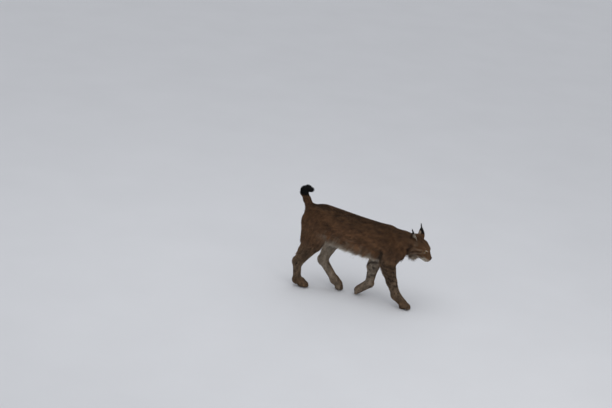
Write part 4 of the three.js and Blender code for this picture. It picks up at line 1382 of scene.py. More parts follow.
@dataclass(frozen=True)
class Hair:
    """Lynx guard hair over wool: keratin, dull along its length, with a faint sheen at its edges.

    The colour comes with each tuft; fine banding along the hairs breaks it up.
    """

    name: str = "guard_hair"
    roughness: float = 0.62
    gloss: float = 0.14
    sheen: float = 0.03
    band_mm: float = 5.0

    def build(self) -> Finish:
        """The material."""
        numbers = {"Roughness": self.roughness, "Specular IOR Level": self.gloss}
        numbers |= {"Sheen Weight": self.sheen, "Sheen Roughness": 0.5}
        made, tree, shader, place = new_material(self.name, numbers)
        shade = node(tree, "ShaderNodeVertexColor", layer_name="Coat").outputs["Color"]
        inputs = {"Vector": place, "Scale": 1 / (self.band_mm * MM), "Detail": 2}
        tone(shader, shade, node(tree, "ShaderNodeTexNoise", inputs), 0.8, 1.2)
        return made


@dataclass(frozen=True)
class Skin:
    """Skin under wool: matt, the coat's own colour in the shade of the hairs above it."""

    name: str = "skin_and_wool"
    roughness: float = 0.9
    gloss: float = 0.15
    wool_mm: float = 2.2
    wool_depth_mm: float = 0.8

    def build(self) -> Finish:
        """The material."""
        numbers = {"Roughness": self.roughness, "Specular IOR Level": self.gloss}
        made, tree, shader, place = new_material(self.name, numbers)
        shade = node(tree, "ShaderNodeVertexColor", layer_name="Coat").outputs["Color"]
        inputs = {"Vector": place, "Scale": 1 / (self.wool_mm * MM), "Detail": 3}
        wool = node(tree, "ShaderNodeTexNoise", inputs)
        tone(shader, shade, wool, 0.5, 0.95)
        inputs = {"Height": wool.outputs["Fac"], "Distance": self.wool_depth_mm * MM, "Strength": 0.6}
        bump = node(tree, "ShaderNodeBump", inputs)
        tree.links.new(bump.outputs["Normal"], shader.inputs["Normal"])
        return made


@dataclass(frozen=True)
class NoseLeather:
    """Bare rhinarium skin: pebbled, slightly moist, dark brown with nearly black patches."""

    name: str = "nose_leather"
    inner: str = "#33201A"
    outer: str = "#120C0B"
    roughness: float = 0.55
    gloss: float = 0.3
    moisture: float = 0.06
    patch_mm: float = 11.11
    pebble_mm: float = 1.1
    pebble_depth_mm: float = 0.4

    def build(self) -> Finish:
        """The material."""
        numbers = {"Roughness": self.roughness, "Specular IOR Level": self.gloss}
        numbers |= {"Coat Weight": self.moisture, "Coat Roughness": 0.25}
        made, tree, shader, place = new_material(self.name, numbers)
        inputs = {"Vector": place, "Scale": 1 / (self.patch_mm * MM), "Detail": 3}
        patch = node(tree, "ShaderNodeTexNoise", inputs)
        colours = node(tree, "ShaderNodeValToRGB", {"Fac": patch.outputs["Fac"]})
        for stop, at, code in zip(colours.color_ramp.elements, (0.3, 0.62), (self.outer, self.inner)):
            stop.position, stop.color = at, colour4(code)
        inputs = {"Vector": place, "Scale": 1 / (self.pebble_mm * MM)}
        cells = node(tree, "ShaderNodeTexVoronoi", inputs)
        inputs = {"Height": cells.outputs["Distance"], "Distance": self.pebble_depth_mm * MM, "Strength": 0.7}
        bump = node(tree, "ShaderNodeBump", inputs, invert=True)
        tree.links.new(colours.outputs["Color"], shader.inputs["Base Color"])
        tree.links.new(bump.outputs["Normal"], shader.inputs["Normal"])
        return made


@dataclass(frozen=True)
class WetEye:
    """A living eye: amber iris round a small dark pupil, under one wet, glossy cornea."""

    name: str = "wet_eye"
    roughness: float = 0.3
    gloss: float = 0.05
    wetness: float = 0.45
    fibre_mm: float = 1.111

    def build(self) -> Finish:
        """The material."""
        numbers = {"Roughness": self.roughness, "Specular IOR Level": self.gloss}
        numbers |= {"Coat Weight": self.wetness, "Coat Roughness": 0.03}
        made, tree, shader, place = new_material(self.name, numbers)
        shade = node(tree, "ShaderNodeVertexColor", layer_name="Coat").outputs["Color"]
        inputs = {"Vector": place, "Scale": 1 / (self.fibre_mm * MM), "Detail": 2}
        tone(shader, shade, node(tree, "ShaderNodeTexNoise", inputs), 0.75, 1.25)
        return made


@dataclass(frozen=True)
class BareRim:
    """Naked skin of the lids: near black, soft and slightly moist."""

    name: str = "bare_rim"
    base: str = "#1B1412"
    roughness: float = 0.45
    crease_mm: float = 1.4
    crease_depth_mm: float = 0.3

    def build(self) -> Finish:
        """The material."""
        numbers = {"Roughness": self.roughness, "Base Color": colour4(self.base)}
        made, tree, shader, place = new_material(self.name, numbers)
        inputs = {"Vector": place, "Scale": 1 / (self.crease_mm * MM), "Detail": 3}
        crease = node(tree, "ShaderNodeTexNoise", inputs)
        inputs = {"Height": crease.outputs["Fac"], "Distance": self.crease_depth_mm * MM, "Strength": 0.5}
        bump = node(tree, "ShaderNodeBump", inputs)
        tree.links.new(bump.outputs["Normal"], shader.inputs["Normal"])
        return made


@dataclass(frozen=True)
class SnowyFloor:
    """A plain matt floor in the pale cold grey of trodden snow under cloud."""

    name: str = "pale_floor"
    base: str = "#D6D8DC"
    roughness: float = 0.85
    drift_mm: float = 625

    def build(self) -> Finish:
        """The material."""
        made, tree, shader, place = new_material(self.name, {"Roughness": self.roughness})
        inputs = {"Vector": place, "Scale": 1 / (self.drift_mm * MM), "Detail": 3}
        tone(shader, colour4(self.base), node(tree, "ShaderNodeTexNoise", inputs), 0.96, 1.03)
        return made


class Slot(Enum):
    """The record's material slots."""

    COAT = "coat"
    LEG = "leg_coat"
    EAR = "ear_coat"
    NOSE = "nose_skin"
    EYE = "eye"


class Wardrobe:
    """The finishes, each built once, and the last step of every piece."""

    def __init__(self) -> None:
        """Builds the materials."""
        kinds = (Hair(), Skin(), NoseLeather(), WetEye(), BareRim())
        self.hair, self.skin, self.nose, self.eye, self.rim = (kind.build() for kind in kinds)

    def dress(self, piece: Piece, finish: Finish, slot: Slot) -> Piece:
        """Gives a piece its finish, and makes it ride with the body.

        Args:
            piece: The finished mesh.
            finish: Its material.
            slot: The record's slot that it belongs to; not used.

        Returns:
            The same piece.
        """
        piece.data.materials.clear()
        piece.data.materials.append(finish)
        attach(piece, "root")
        log.info("%s: %d points", piece.name, len(piece.data.vertices))
        return piece


# The pieces.


@dataclass
class SkinWork:
    """The one skin under the whole coat.

    Attributes:
        voxel: Size in mm of the net's first cells.
        head_from: From where in the head's frame the cells are half as large.
        face_from: From where they are a quarter as large.
    """

    animal: Animal
    markings: Markings
    shop: Shop
    voxel: float = 6.0
    head_from: float = -40
    face_from: float = 52

    def blank(self) -> Piece:
        """One ball, copied along every mass: the first rough body."""
        ball = new_ball("ball", 16, 10)
        points, (faces, _) = points_of(ball), triangles_of(ball)
        bpy.data.objects.remove(ball)
        balls = []
        for leaf in self.animal.flesh.leaves():
            balls += self.barrel(leaf) if isinstance(leaf, Barrel) else self.round_cone(leaf)
        copies = np.concatenate([points * radii + at for at, radii in balls])
        numbers = np.arange(len(balls))[:, None, None] * len(points) + faces
        return self.shop.mesh("skin", copies, numbers.reshape(-1, 3))

    def barrel(self, trunk: Barrel) -> list[tuple[Array, Array]]:
        """The trunk as a row of upright balls, each a place and three radii."""
        depth = trunk.fur.depth
        made = []
        for x in np.linspace(trunk.stations[0].x, trunk.stations[-1].x, 18):
            at = np.array([x])
            top, bottom, half = (float(trunk.through(key, at)[0]) for key in ("top", "bottom", "half"))
            radii = np.array([66, half, (top - bottom) / 2]) - depth
            made.append((np.array([x, 0, (top + bottom) / 2]), radii))
        return made

    def round_cone(self, mass: Mass) -> list[tuple[Array, Array]]:
        """One mass as a row of balls that shrink along it, each a place and three radii."""
        start, end = np.array(mass.start, float), np.array(mass.end, float)
        first, last = (max(3.0, r - mass.fur.depth) for r in mass.radii)
        length = float(np.linalg.norm(end - start))
        count = max(1, math.ceil(length / (0.45 * min(first, last))))
        made = []
        for t in np.arange(count + 1 if length > 1 else 1) / count:
            at = start + (end - start) * t
            if mass.area is Area.HEAD:
                at = self.animal.head.out(at)
            made.append((at, (first + (last - first) * t) * np.array([1, mass.squash, 1])))
        return made

    def refine(self, skin: Piece, chosen: Callable) -> None:
        """Halves the cells of the faces whose middles are chosen."""
        mesh = skin.data
        which = chosen(self.shop.millimetres(read(mesh.polygons, "center", 3)))
        with edited(skin, "DESELECT"):
            pass  # clears the selection
        mesh.polygons.foreach_set("select", which)
        bpy.ops.object.mode_set(mode="EDIT")
        bpy.ops.mesh.select_mode(type="FACE")
        bpy.ops.mesh.subdivide(number_cuts=1)
        bpy.ops.object.mode_set(mode="OBJECT")

    def relax(self, skin: Piece, rounds: int) -> None:
        """Settles the net on the skin's level, and evens out its cells."""
        points = self.shop.places(skin)
        edges = read(skin.data.edges, "vertices", 2, np.int32)
        a, b = edges.T
        valence = np.bincount(edges.ravel(), minlength=len(points))[:, None]
        for _ in range(rounds):
            points = self.animal.settle(points, 2)
            total = np.zeros_like(points)
            np.add.at(total, a, points[b])
            np.add.at(total, b, points[a])
            points = points * 0.5 + total / valence * 0.5
        points = self.animal.settle(points, 2)
        points[:, 2] = np.maximum(points[:, 2], self.shop.floor)
        self.shop.move(skin, points)

    def build(self) -> Piece:
        """Makes the skin with its colours and its unwrap."""
        skin = self.blank()
        remesh(skin, self.voxel)
        self.relax(skin, 2)
        for behind in (self.head_from, self.face_from):
            self.refine(skin, lambda points, x=behind: self.front_of(self.animal.head.inside(points), x))
            self.relax(skin, 1)
        points = self.shop.places(skin)
        paint(skin, self.markings.colour(points, normals_of(skin), self.animal.shares(points)))
        unwrap(skin)
        return skin

    @staticmethod
    def front_of(local: Array, x: float) -> Array:
        """Places of the head in front of its own x."""
        return (local[:, 0] > x) & (np.abs(local[:, 1]) < 90) & (local[:, 2] > -90) & (local[:, 0] < 160)


@dataclass
class CoatWork:
    """The fur over the skin, area by area, and the long hair of ruff, belly, breast and legs.

    Attributes:
        limit: How many triangles a piece may have.
        straight: The length in mm from which a tuft bends.
        lid_width: How far in mm the lids reach beyond the ball.
        bare: How far in mm from the slit they are bare.
        nose_from: From where in the head's frame the nose pad is looked for.
        bare_nose: How far in mm from the pad the muzzle is bare.
        dark_share: How many of the tufts have dark tips.
    """

    animal: Animal
    markings: Markings
    shop: Shop
    barber: Barber
    hide: Hide
    nose: "NoseWork"
    limit: int = 190000
    straight: float = 19
    lid_width: float = 8
    bare: float = 0.9
    nose_from: float = 112
    bare_nose: float = 0.1
    dark_share: float = 0.13

    def roots(self) -> Roots:
        """Roots all over the skin, spaced as each place's fur asks."""
        roots = self.hide.sow((self.animal.shares(self.hide.middles()) @ self.animal.furs)[:, 2], SEED)
        roots.shares = self.animal.shares(roots.points)
        return roots

    def clear_of_face(self, roots: Roots) -> Array:
        """Roots whose tufts stay off the eyes and the nose pad."""
        keep = np.ones(len(roots.points), bool)
        for eye in self.animal.eyes.values():
            local = eye.local(roots.points)
            near = lengths(local) < eye.radius + self.lid_width
            keep &= ~(near & (local[:, 2] > 0) & (eye.slit(local) < self.bare))
        at = self.animal.head.inside(roots.points)
        front = np.flatnonzero(at[:, 0] > self.nose_from)
        keep[front] &= self.nose.level(at[front]) > self.bare_nose
        return keep

    def growth(self, roots: Roots, seed: int) -> Growth:
        """How the plain coat grows at its roots, gathered into locks, with painted shade between the locks.
        """
        rng = np.random.default_rng(seed)
        count = len(roots.points)
        length, width, _, wild, height = (roots.shares @ self.animal.furs).T
        flow = self.animal.lie_at(roots.points, roots.normals, roots.shares)
        flow = flow + wild[:, None] * rng.normal(size=(count, 3))
        middle, gap = gathered(roots.points, np.interp(length, (8, 16, 33), (5, 9, 17)), 81)
        pull = ramp(length, 7, 14)[:, None] * 0.6
        flow = unit(flow) + pull * (middle - roots.points) / length[:, None]
        clump = mottle(roots.points, 14.0, 51)
        length = length * (0.78 + 0.44 * rng.random(count)) * (1 + 0.12 * clump)
        for eye in self.animal.eyes.values():
            local = eye.local(roots.points)
            away = np.where((local[:, 2] > 0) & (lengths(local) < 34), eye.slit(local), 99)
            flow = flow + eye.outward(local) * (2.4 * ramp(away, 15, 3))[:, None]
            length = length * (1 - 0.5 * ramp(away, 11, 1))
        flow = roots.flat(flow)
        rise = np.arcsin(np.clip(height / length, 0.1, 0.75)) * (0.8 + 0.4 * rng.random(count))
        colour = self.markings.colour(roots.points, roots.normals, roots.shares)
        # Tone varies at random and with the clumps; tufts between locks are darkened as painted shade.
        shade = 1 + 0.14 * clump + 0.15 * rng.normal(size=count) - 0.32 * pull[:, 0] * ramp(gap, 0.3, 0.7)
        colour = colour * np.maximum(shade, 0.3)[:, None]
        dark = rng.random(count) < self.dark_share
        tip = np.where(dark[:, None], colour * 0.45, colour * 1.25)
        width = width * (0.8 + 0.4 * rng.random(count))
        return Growth(flow, length, width, rise, np.zeros(count), lit(colour, 0.002), lit(tip, 0.002))

    def build_plain(self) -> list[Piece]:
        """The coat that covers the whole body."""
        roots = self.roots()
        roots = roots.chosen(self.clear_of_face(roots))
        growth = self.growth(roots, SEED + 1)
        owner = np.stack([self.animal.area_share(roots.shares, area) for area in Area]).argmax(axis=0)
        made = []
        body = [area in (Area.TRUNK, Area.NECK, Area.TAIL) for area in Area]
        short = (growth.length < self.straight) & ~np.array(body)[owner]
        for number, area in enumerate(Area):
            for joints, kind in ((0, "short"), (1, "long")):
                chosen = np.flatnonzero((owner == number) & (short if joints == 0 else ~short))
                if not len(chosen):
                    continue
                parts = math.ceil(len(chosen) * (4 + 6 * joints) / self.limit)
                order = np.argsort(roots.points[chosen, 0], kind="stable")
                for part, which in enumerate(np.array_split(chosen[order], parts)):
                    name = f"{kind}_fur_{area.value}" + (f"_{part + 1}" if parts > 1 else "")
                    made.append(self.barber.tufts(name, roots.chosen(which), growth.chosen(which), joints))
        log.info("plain coat: %d tufts", len(roots.points))
        return made

    def thinned(self, spacing: float, where: Callable, seed: int) -> Roots:
        """Roots of long hair, in a part of the skin.

        Args:
            spacing: Distance from root to root in mm.
            where: Tells from places and normals which to keep.
            seed: Start of the draws.

        Returns:
            The roots.
        """
        roots = self.hide.sow(spacing, seed)
        roots = roots.chosen(where(roots.points, roots.normals))
        roots.shares = self.animal.shares(roots.points)
        return roots

    def long_hair(
        self, name: str, roots: Roots, lie: Array, length: Array, style: Vec, tint: tuple, seed: int
    ) -> Piece:
        """Long bent tufts.

        Args:
            name: Name of the piece.
            roots: Where they grow.
            lie: The way each falls.
            length: Each one's length in mm.
            style: Width in mm, rise from the skin in radians, and droop as a share of the length.
            tint: The colour that their tips turn to, and how far.
            seed: Start of the draws.

        Returns:
            The piece.
        """
        width, rise, droop = style
        rng = np.random.default_rng(seed)
        count = len(roots.points)
        clump = np.stack([mottle(roots.points, 16.0, seed + i) for i in range(3)], axis=1)
        flow = unit(lie) + 0.18 * clump + 0.1 * rng.normal(size=(count, 3))
        flow = roots.flat(flow, 0.85)
        colour = self.markings.colour(roots.points, roots.normals, roots.shares)
        colour = colour * (1 + 0.18 * rng.normal(size=count) + 0.15 * clump[:, 0])[:, None]
        tip = mix(colour, self.markings.pelt.shade(tint[0]), np.zeros(count) + tint[1])
        tip = tip * (1 + 0.14 * rng.normal(size=count))[:, None]
        length = length * (0.7 + 0.42 * rng.random(count)) * (1 + 0.15 * clump[:, 1])
        widths = width * (0.7 + 0.5 * rng.random(count))
        rises = rise * (0.7 + 0.6 * rng.random(count))
        growth = Growth(flow, length, widths, rises, np.full(count, droop), lit(colour), lit(tip))
        return self.barber.tufts(name, roots, growth, 2)

    def build_ruff(self) -> list[Piece]:
        """The cheek ruff, hanging from jaw and cheek on each side."""
        head = self.animal.head
        stations = np.array([-38, -24, -8, 8, 24, 42, 56])
        lengths = np.array([26, 80, 80, 60, 44, 22, 8])

        def polar(points: Array) -> tuple[Array, Array]:
            """Places in the head's frame, and their angle from straight down in degrees."""
            at = head.inside(points)
            return at, np.degrees(np.arctan2(np.abs(at[:, 1]), -(at[:, 2] + 10)))

        def below(points: Array, normals: Array) -> Array:
            """The lower half of the cheeks, thinning out upwards and forwards."""
            at, angle = polar(points)
            share = ramp(angle, 108, 78) * ramp(at[:, 0], 54, 34) * ramp(at[:, 0], -38, -26)
            return (angle > 18) & (at[:, 2] > -95) & (hashed(points * 7, SEED) < share)

        roots = self.thinned(2.0, below, SEED + 11)
        at, angle = polar(roots.points)
        sweep = ramp(angle, 100, 48)[:, None]
        side = np.sign(at[:, 1])
        one = np.ones(len(at))
        hang = np.stack([0.12 - 0.4 * np.sin(np.radians(angle)), side * 0.1, -one], axis=1)
        back = np.stack([-0.9 * one, side * 0.25, -0.5 * one], axis=1)
        lie = back * (1 - sweep) + hang * sweep
        length = np.interp(at[:, 0], stations, lengths) * (1 - 0.45 * ramp(angle, 60, 100))
        streak = ramp(mottle(roots.points, 15.0, 91), 0.0, 0.5)
        dark = np.maximum(ramp(at[:, 0], -4, -18) * 0.9, 0.6 * streak) * ramp(at[:, 0], 30, 8)
        pale = ramp(angle, 95, 40) * 0.62 * (1 - dark)
        made = []
        for flank in Side:
            for kind, tint, share in (("pale", "cream", pale), ("dark", "spot", dark * 0.85)):
                which = (side == flank.value) & ((dark > 0.45) == (kind == "dark"))
                some, style = roots.chosen(which), (1.5, 0.24, 0.06)
                hair = (some, lie[which], length[which], style, (tint, share[which]), SEED + 12)
                made.append(self.long_hair(f"ruff_{kind}_{flank.word}", *hair))
        return made

    def build_belly(self) -> Piece:
        """The fringe under the belly, from the groin to the elbows."""

        def under(points: Array, normals: Array) -> Array:
            """The trunk's underside."""
            high = self.animal.trunk.height_share(points)
            inside = between(points[:, 0], 190, 645) & between(high, -0.02, 0.3)
            return inside & (np.abs(points[:, 1]) < 108) & (normals[:, 2] < -0.05)

        roots = self.thinned(4.0, under, SEED + 21)
        lie = np.tile((-0.6, 0, -0.9), (len(roots.points), 1))
        high = self.animal.trunk.height_share(roots.points)
        clump = mottle(roots.points, (30, 24, 30), 92)
        length = (52 + 14 * ramp(-roots.normals[:, 2], 0.3, 0.9)) * (1 + 0.25 * clump)
        pale = 0.66 * ramp(high + 0.08 * clump, 0.24, 0.08)
        style = (2.8, 0.75, 0.16)
        return self.long_hair("belly_fringe", roots, lie, length, style, ("cream", pale), SEED + 22)

    def build_breast(self) -> Piece:
        """The long hair of the breast and throat."""

        def front(points: Array, normals: Array) -> Array:
            """The front of the breast, between the shoulders."""
            inside = between(points[:, 0], 690, 800) & between(points[:, 2], 350, 470)
            return inside & (normals[:, 0] > 0.15) & (np.abs(points[:, 1]) < 70)

        roots = self.thinned(3.4, front, SEED + 31)
        lie = np.tile((-0.2, 0, -1.0), (len(roots.points), 1))
        length = np.full(len(roots.points), 42.0)
        style = (2.8, 0.3, 0.1)
        return self.long_hair("breast_hair", roots, lie, length, style, ("cream", 0.35), SEED + 32)

    def build_fringes(self) -> Piece:
        """The feathering down the back edges of the legs."""

        def back(points: Array, normals: Array) -> Array:
            """The back edges of thighs and upper arms."""
            return between(points[:, 2], 225, 470) & (normals[:, 0] < -0.6)

        roots = self.thinned(4.0, back, SEED + 41)
        roots = roots.chosen(self.animal.area_share(roots.shares, *LEGS) > 0.6)
        lie = np.tile((-0.4, 0, -1.0), (len(roots.points), 1))
        height = roots.points[:, 2]
        extra = np.where(roots.points[:, 1] < 0, 26, 12)
        extra = np.where((roots.points[:, 1] > 0) & (roots.points[:, 0] > 400), 30, extra)
        length = 20 + extra * ramp(height, 235, 300) * ramp(height, 480, 400)
        style = (2.3, 0.5, 0.05)
        return self.long_hair("leg_feathering", roots, lie, length, style, ("fawn", 0.15), SEED + 42)

    def build(self) -> list[Piece]:
        """All the coat's pieces."""
        long = [*self.build_ruff(), self.build_belly(), self.build_breast(), self.build_fringes()]
        return [*self.build_plain(), *long]


@dataclass
class EyeWork:
    """An eyeball, and the bare dark rim of its lids.

    Attributes:
        iris: Half the angle that the iris spans, in radians.
        pupil: Half the angle of the pupil.
        rim: Half the thickness of the rim in mm.
    """

    eye: Eye
    shop: Shop
    side: Side
    iris: float = 0.74
    pupil: float = 0.25
    rim: float = 0.95

    def eyeball(self) -> Piece:
        """The ball with its cornea, coloured in rings round the gaze."""
        ball = new_ball(f"eyeball_{self.side.word}", 64, 64)
        bpy.ops.object.shade_smooth()
        flat = points_of(ball)
        slope = np.arccos(np.clip(flat[:, 2], -1, 1))
        bulge = 1 + 0.05 * ramp(slope, 0.8, 0.1)
        axes = self.eye.axes.copy()
        axes[:, 0] *= np.sign(np.linalg.det(axes))
        self.shop.move(ball, self.eye.centre + flat * (self.eye.radius * bulge)[:, None] @ axes.T)
        spoke = np.arctan2(flat[:, 1], flat[:, 0])
        amber = mix(srgb("#B98A3A"), srgb("#7C6A2E"), ramp(slope, self.pupil, self.iris))
        amber = amber * (0.82 + 0.24 * np.sin(spoke * 24))[:, None]
        colour = mix(srgb("#050404"), amber, ramp(slope, self.pupil - 0.03, self.pupil + 0.03))
        colour = mix(colour, srgb("#0C0A09"), ramp(slope, self.iris - 0.1, self.iris + 0.02))
        colour = mix(colour, srgb("#2A1E19"), ramp(slope, self.iris + 0.1, self.iris + 0.4))
        paint(ball, colour)
        return ball

    def lid_rim(self) -> Piece:
        """A closed ring of bare skin round the slit, thicker at the inner corner."""
        eye, around, sides = self.eye, 84, 8
        angle = np.arange(around) * 2 * np.pi / around
        wide = np.where(np.cos(angle) < 0, eye.inner, eye.outer)
        x = wide * np.cos(angle)
        brow = np.where(np.sin(angle) > 0, 0.9, 1.0) * eye.high
        y = np.sign(np.sin(angle)) * brow * np.abs(np.sin(angle)) ** 1.44
        shell = eye.radius + 0.75
        z = np.sqrt(np.maximum(shell**2 - x**2 - y**2, 1))
        line = np.stack([x, y, z], axis=1)
        tangent = unit(np.roll(line, -1, axis=0) - np.roll(line, 1, axis=0))
        radial = unit(line)
        across = unit(np.cross(tangent, radial))
        size = self.rim * (1 + 0.5 * ramp(x, -6, -12))[:, None]
        rings = [
            line + size * (1.25 * across * math.cos(turn) + radial * math.sin(turn))
            for turn in np.arange(sides) * 2 * np.pi / sides
        ]
        points = eye.centre + np.stack(rings, axis=1).reshape(-1, 3) @ eye.axes.T
        i, j = (a.ravel() for a in np.meshgrid(np.arange(around), np.arange(sides), indexing="ij"))
        k, n = (i + 1) % around, (j + 1) % sides
        faces = np.stack([i * sides + j, k * sides + j, k * sides + n, i * sides + n], axis=1)
        piece = self.shop.mesh(f"lid_rim_{self.side.word}", points, faces)
        face_outwards(piece)
        return piece


@dataclass
class NoseWork:
    """The bare nose pad with its nostrils, its groove and its wings."""

    animal: Animal
    shop: Shop
    voxel: float = 0.75
    front: float = 138.1

    def level(self, points: Array) -> Array:
        """Distance to the pad's surface, in the head's frame."""
        found: list[Array] = []
        parts = [self.lump((130, -8, -14.5), (130, 8, -14.5), (7, 7))]
        parts.append(self.lump((133.5, 0, -16), (133.2, 0, -31), (7, 4)))
        parts += [self.lump((130.5, 9 * side, -18), (130.5, 5.5 * side, -26), (6, 4.5)) for side in (1, -1)]
        pad = Joined(parts, 1.6).distance(points, found)
        front = points @ (1, 0, -0.1) - self.front
        pad = -soft_least([-pad, -front], 1.2)
        for side in (1, -1):
            for start, end, radii in (
                ((141, side * 6.2, -20.5), (131, side * 11, -19), (2.5, 2.1)),
                ((134, side * 10.5, -19), (127, side * 16, -23), (1.4, 1.0)),
            ):
                hole = self.lump(start, end, radii).distance(points, found)
                pad = -soft_least([-pad, hole], 0.5)
        groove = self.lump((139.5, 0, -17), (137, 0, -36), (1.1, 1.1)).distance(points, found)
        return -soft_least([-pad, groove], 0.5)

    @staticmethod
    def lump(start: Vec, end: Vec, radii: Pair) -> Mass:
        """A bare mass of the nose."""
        return Mass(MUZZLE, (-1, 0, 0), Area.HEAD, start, end, radii)

    def build(self) -> Piece:
        """The nose pad."""
        head, pad = self.animal.head, new_ball("nose_pad", 24, 16)
        self.shop.move(pad, head.out(points_of(pad) * (8, 15, 13) + np.array([129, 0, -21])))
        remesh(pad, self.voxel)
        local = self.animal.settle(head.inside(self.shop.places(pad)), 10, self.level)
        self.shop.move(pad, head.out(local))
        return pad


@dataclass
class EarWork:
    """An ear: its cup of skin, short dark fur behind, pale hair inside and a black tuft."""

    animal: Animal
    markings: Markings
    shop: Shop
    barber: Barber
    side: Side
    height: float = 72
    half: float = 31
    wall: float = 2.6
    sink: float = 14
    curl: float = 1.2
    tuft: float = 44

    SETTINGS = {
        Side.RIGHT: {"at": (-51, 44, 34), "lean": -30, "splay": 24, "turn": 84, "sweep": 0.3},
        Side.LEFT: {"at": (-38, 44, 38), "lean": -33, "splay": 16, "turn": 80, "sweep": 0.22},
    }

    def axes(self) -> tuple[Array, Array, Array, Array]:
        """The ear's base, up, ahead (out of the cup) and across, in the body's frame."""
        place = self.SETTINGS[self.side]
        side = self.side.value
        lean, splay, turn = (math.radians(place[key]) for key in ("lean", "splay", "turn"))
        up = unit(np.array([math.sin(lean), side * math.sin(splay), math.cos(lean)]))
        ahead = np.array([math.cos(turn), side * math.sin(turn), 0])
        ahead = unit(ahead - up * (ahead @ up))
        head = self.animal.head
        base = head.out(np.array(place["at"]) * (1, side, 1))
        up, ahead = head.way(up), head.way(ahead)
        return base, up, ahead, unit(np.cross(up, ahead))

    def sheet(self, t: Array, v: Array) -> Array:
        """A point of the cup at a share of its height and a share across it."""
        base, up, ahead, across = self.axes()
        open_t = np.clip(t, 0, 1)
        half = self.half * np.sqrt(np.maximum(0, 1 - open_t)) * (0.92 + 0.75 * open_t * (1 - open_t))
        half = half + 0.4 * (1 - open_t)
        depth = half * 1.05 * (np.cos(v * self.curl) - math.cos(self.curl))
        return (
            base
            + up * (self.height * t)[:, None]
            + across * (half * np.sin(v * self.curl) / math.sin(self.curl))[:, None]
            + ahead * (half * 0.35 - depth - 6 * t * t)[:, None]
        )

    def cup(self) -> Piece:
        """The ear's skin, a closed thin shell."""
        rows, columns = 30, 25
        t = np.concatenate([np.linspace(-self.sink / self.height, 0.9, rows - 4), [0.94, 0.97, 0.985, 0.995]])
        v = np.linspace(-1, 1, columns)
        grid_t, grid_v = (a.ravel() for a in np.meshgrid(t, v, indexing="ij"))
        thin = self.wall / 2 * np.sqrt(np.clip(1 - grid_t, 0.02, 1)) * (1 - 0.6 * grid_v**4)
        middle, offset = self.sheet(grid_t, grid_v), self.axes()[2] * thin[:, None]
        points = np.concatenate([middle - offset, middle + offset])
        size = rows * columns
        at = np.arange(size).reshape(rows, columns)
        quads = np.stack([at[:-1, :-1], at[:-1, 1:], at[1:, 1:], at[1:, :-1]], axis=-1).reshape(-1, 4)
        sheets = np.stack([quads, size + quads[:, ::-1]], axis=1).reshape(-1, 4)
        rim = np.concatenate([at[:, 0], at[-1, 1:], at[-2::-1, -1], at[0, -2:0:-1]])
        after = np.roll(rim, -1)
        wall = np.stack([rim, after, size + after, size + rim], axis=1)
        piece = self.shop.mesh(f"ear_skin_{self.side.word}", points, np.concatenate([sheets, wall]))
        face_outwards(piece)
        paint(piece, self.shades(points, normals_of(piece)))
        unwrap(piece)
        return piece

    def shades(self, points: Array, normals: Array) -> Array:
        """A black back with a pale patch, and a cup that is white in front and dark behind."""
        base, up, ahead, across = self.axes()
        t = (points - base) @ up / self.height
        front = -self.side.value * ((points - base) @ across) / self.half
        pelt = self.markings.pelt
        patch = ramp(np.hypot((t - 0.47) / 0.2, (front + 0.2) / 0.42), 1.25, 0.6)
        brown = mix(pelt.shade("russet"), pelt.shade("umber"), 0.5)
        behind = mix(pelt.shade("soot"), brown, ramp(t, 0.42, 0.28))
        behind = mix(behind, mix(pelt.shade("fawn"), pelt.shade("cream"), 0.3), 0.9 * patch)
        within = mix(pelt.shade("umber"), pelt.shade("cream"), 0.9 * ramp(front, -0.45, 0.1))
        within = within * (1 + 0.2 * mottle(points, 9.0, 71))[:, None]
        within = mix(within, pelt.shade("soot"), ramp(t, 0.7, 0.86))
        return mix(behind, within, ramp(normals @ ahead, -0.1, 0.25))

    def fur(self, skin: Piece) -> Piece:
        """Short fur over the cup's back, and over its rims."""
        roots = Hide.of(skin, self.shop).sow(1.5, SEED + 61)
        base, up, ahead, _ = self.axes()
        t = (roots.points - base) @ up / self.height
        roots = roots.chosen((roots.normals @ ahead < 0.2) & (t > -0.1))
        return self.strands(f"ear_fur_{self.side.word}", roots, up, (8, 1.0, 0.14), 0, SEED + 62)

    def lining(self, skin: Piece) -> Piece:
        """Long pale hair inside the cup, springing from its front edge."""
        roots = Hide.of(skin, self.shop).sow(2.2, SEED + 63)
        base, up, ahead, across = self.axes()
        t = (roots.points - base) @ up / self.height
        beside = np.abs((roots.points - base) @ across) / (self.half * np.sqrt(np.clip(1 - t, 0.02, 1)))
        roots = roots.chosen((roots.normals @ ahead > 0.2) & between(t, -0.12, 0.82) & (beside < 0.86))
        way = up + 0.35 * ahead
        return self.strands(f"ear_lining_{self.side.word}", roots, way, (20, 0.9, 0.4), 1, SEED + 64)

    def strands(
        self, name: str, roots: Roots, way: Array, sizes: Vec, joints: int, seed: int
    ) -> Piece:
        """Tufts that stream one way over the ear; sizes are length and width in mm, and rise in radians."""
        rng = np.random.default_rng(seed)
        count = len(roots.points)
        flow = roots.flat(way + 0.2 * rng.normal(size=(count, 3)))
        colour = self.shades(roots.points, roots.normals)
        colour = colour * (1 + 0.16 * rng.normal(size=count))[:, None]
        length, width = (size * (0.7 + 0.6 * rng.random(count)) for size in sizes[:2])
        growth = Growth(
            flow, length, width, np.full(count, sizes[2]), np.zeros(count), lit(colour), lit(colour * 1.1)
        )
        return self.barber.tufts(name, roots, growth, joints)

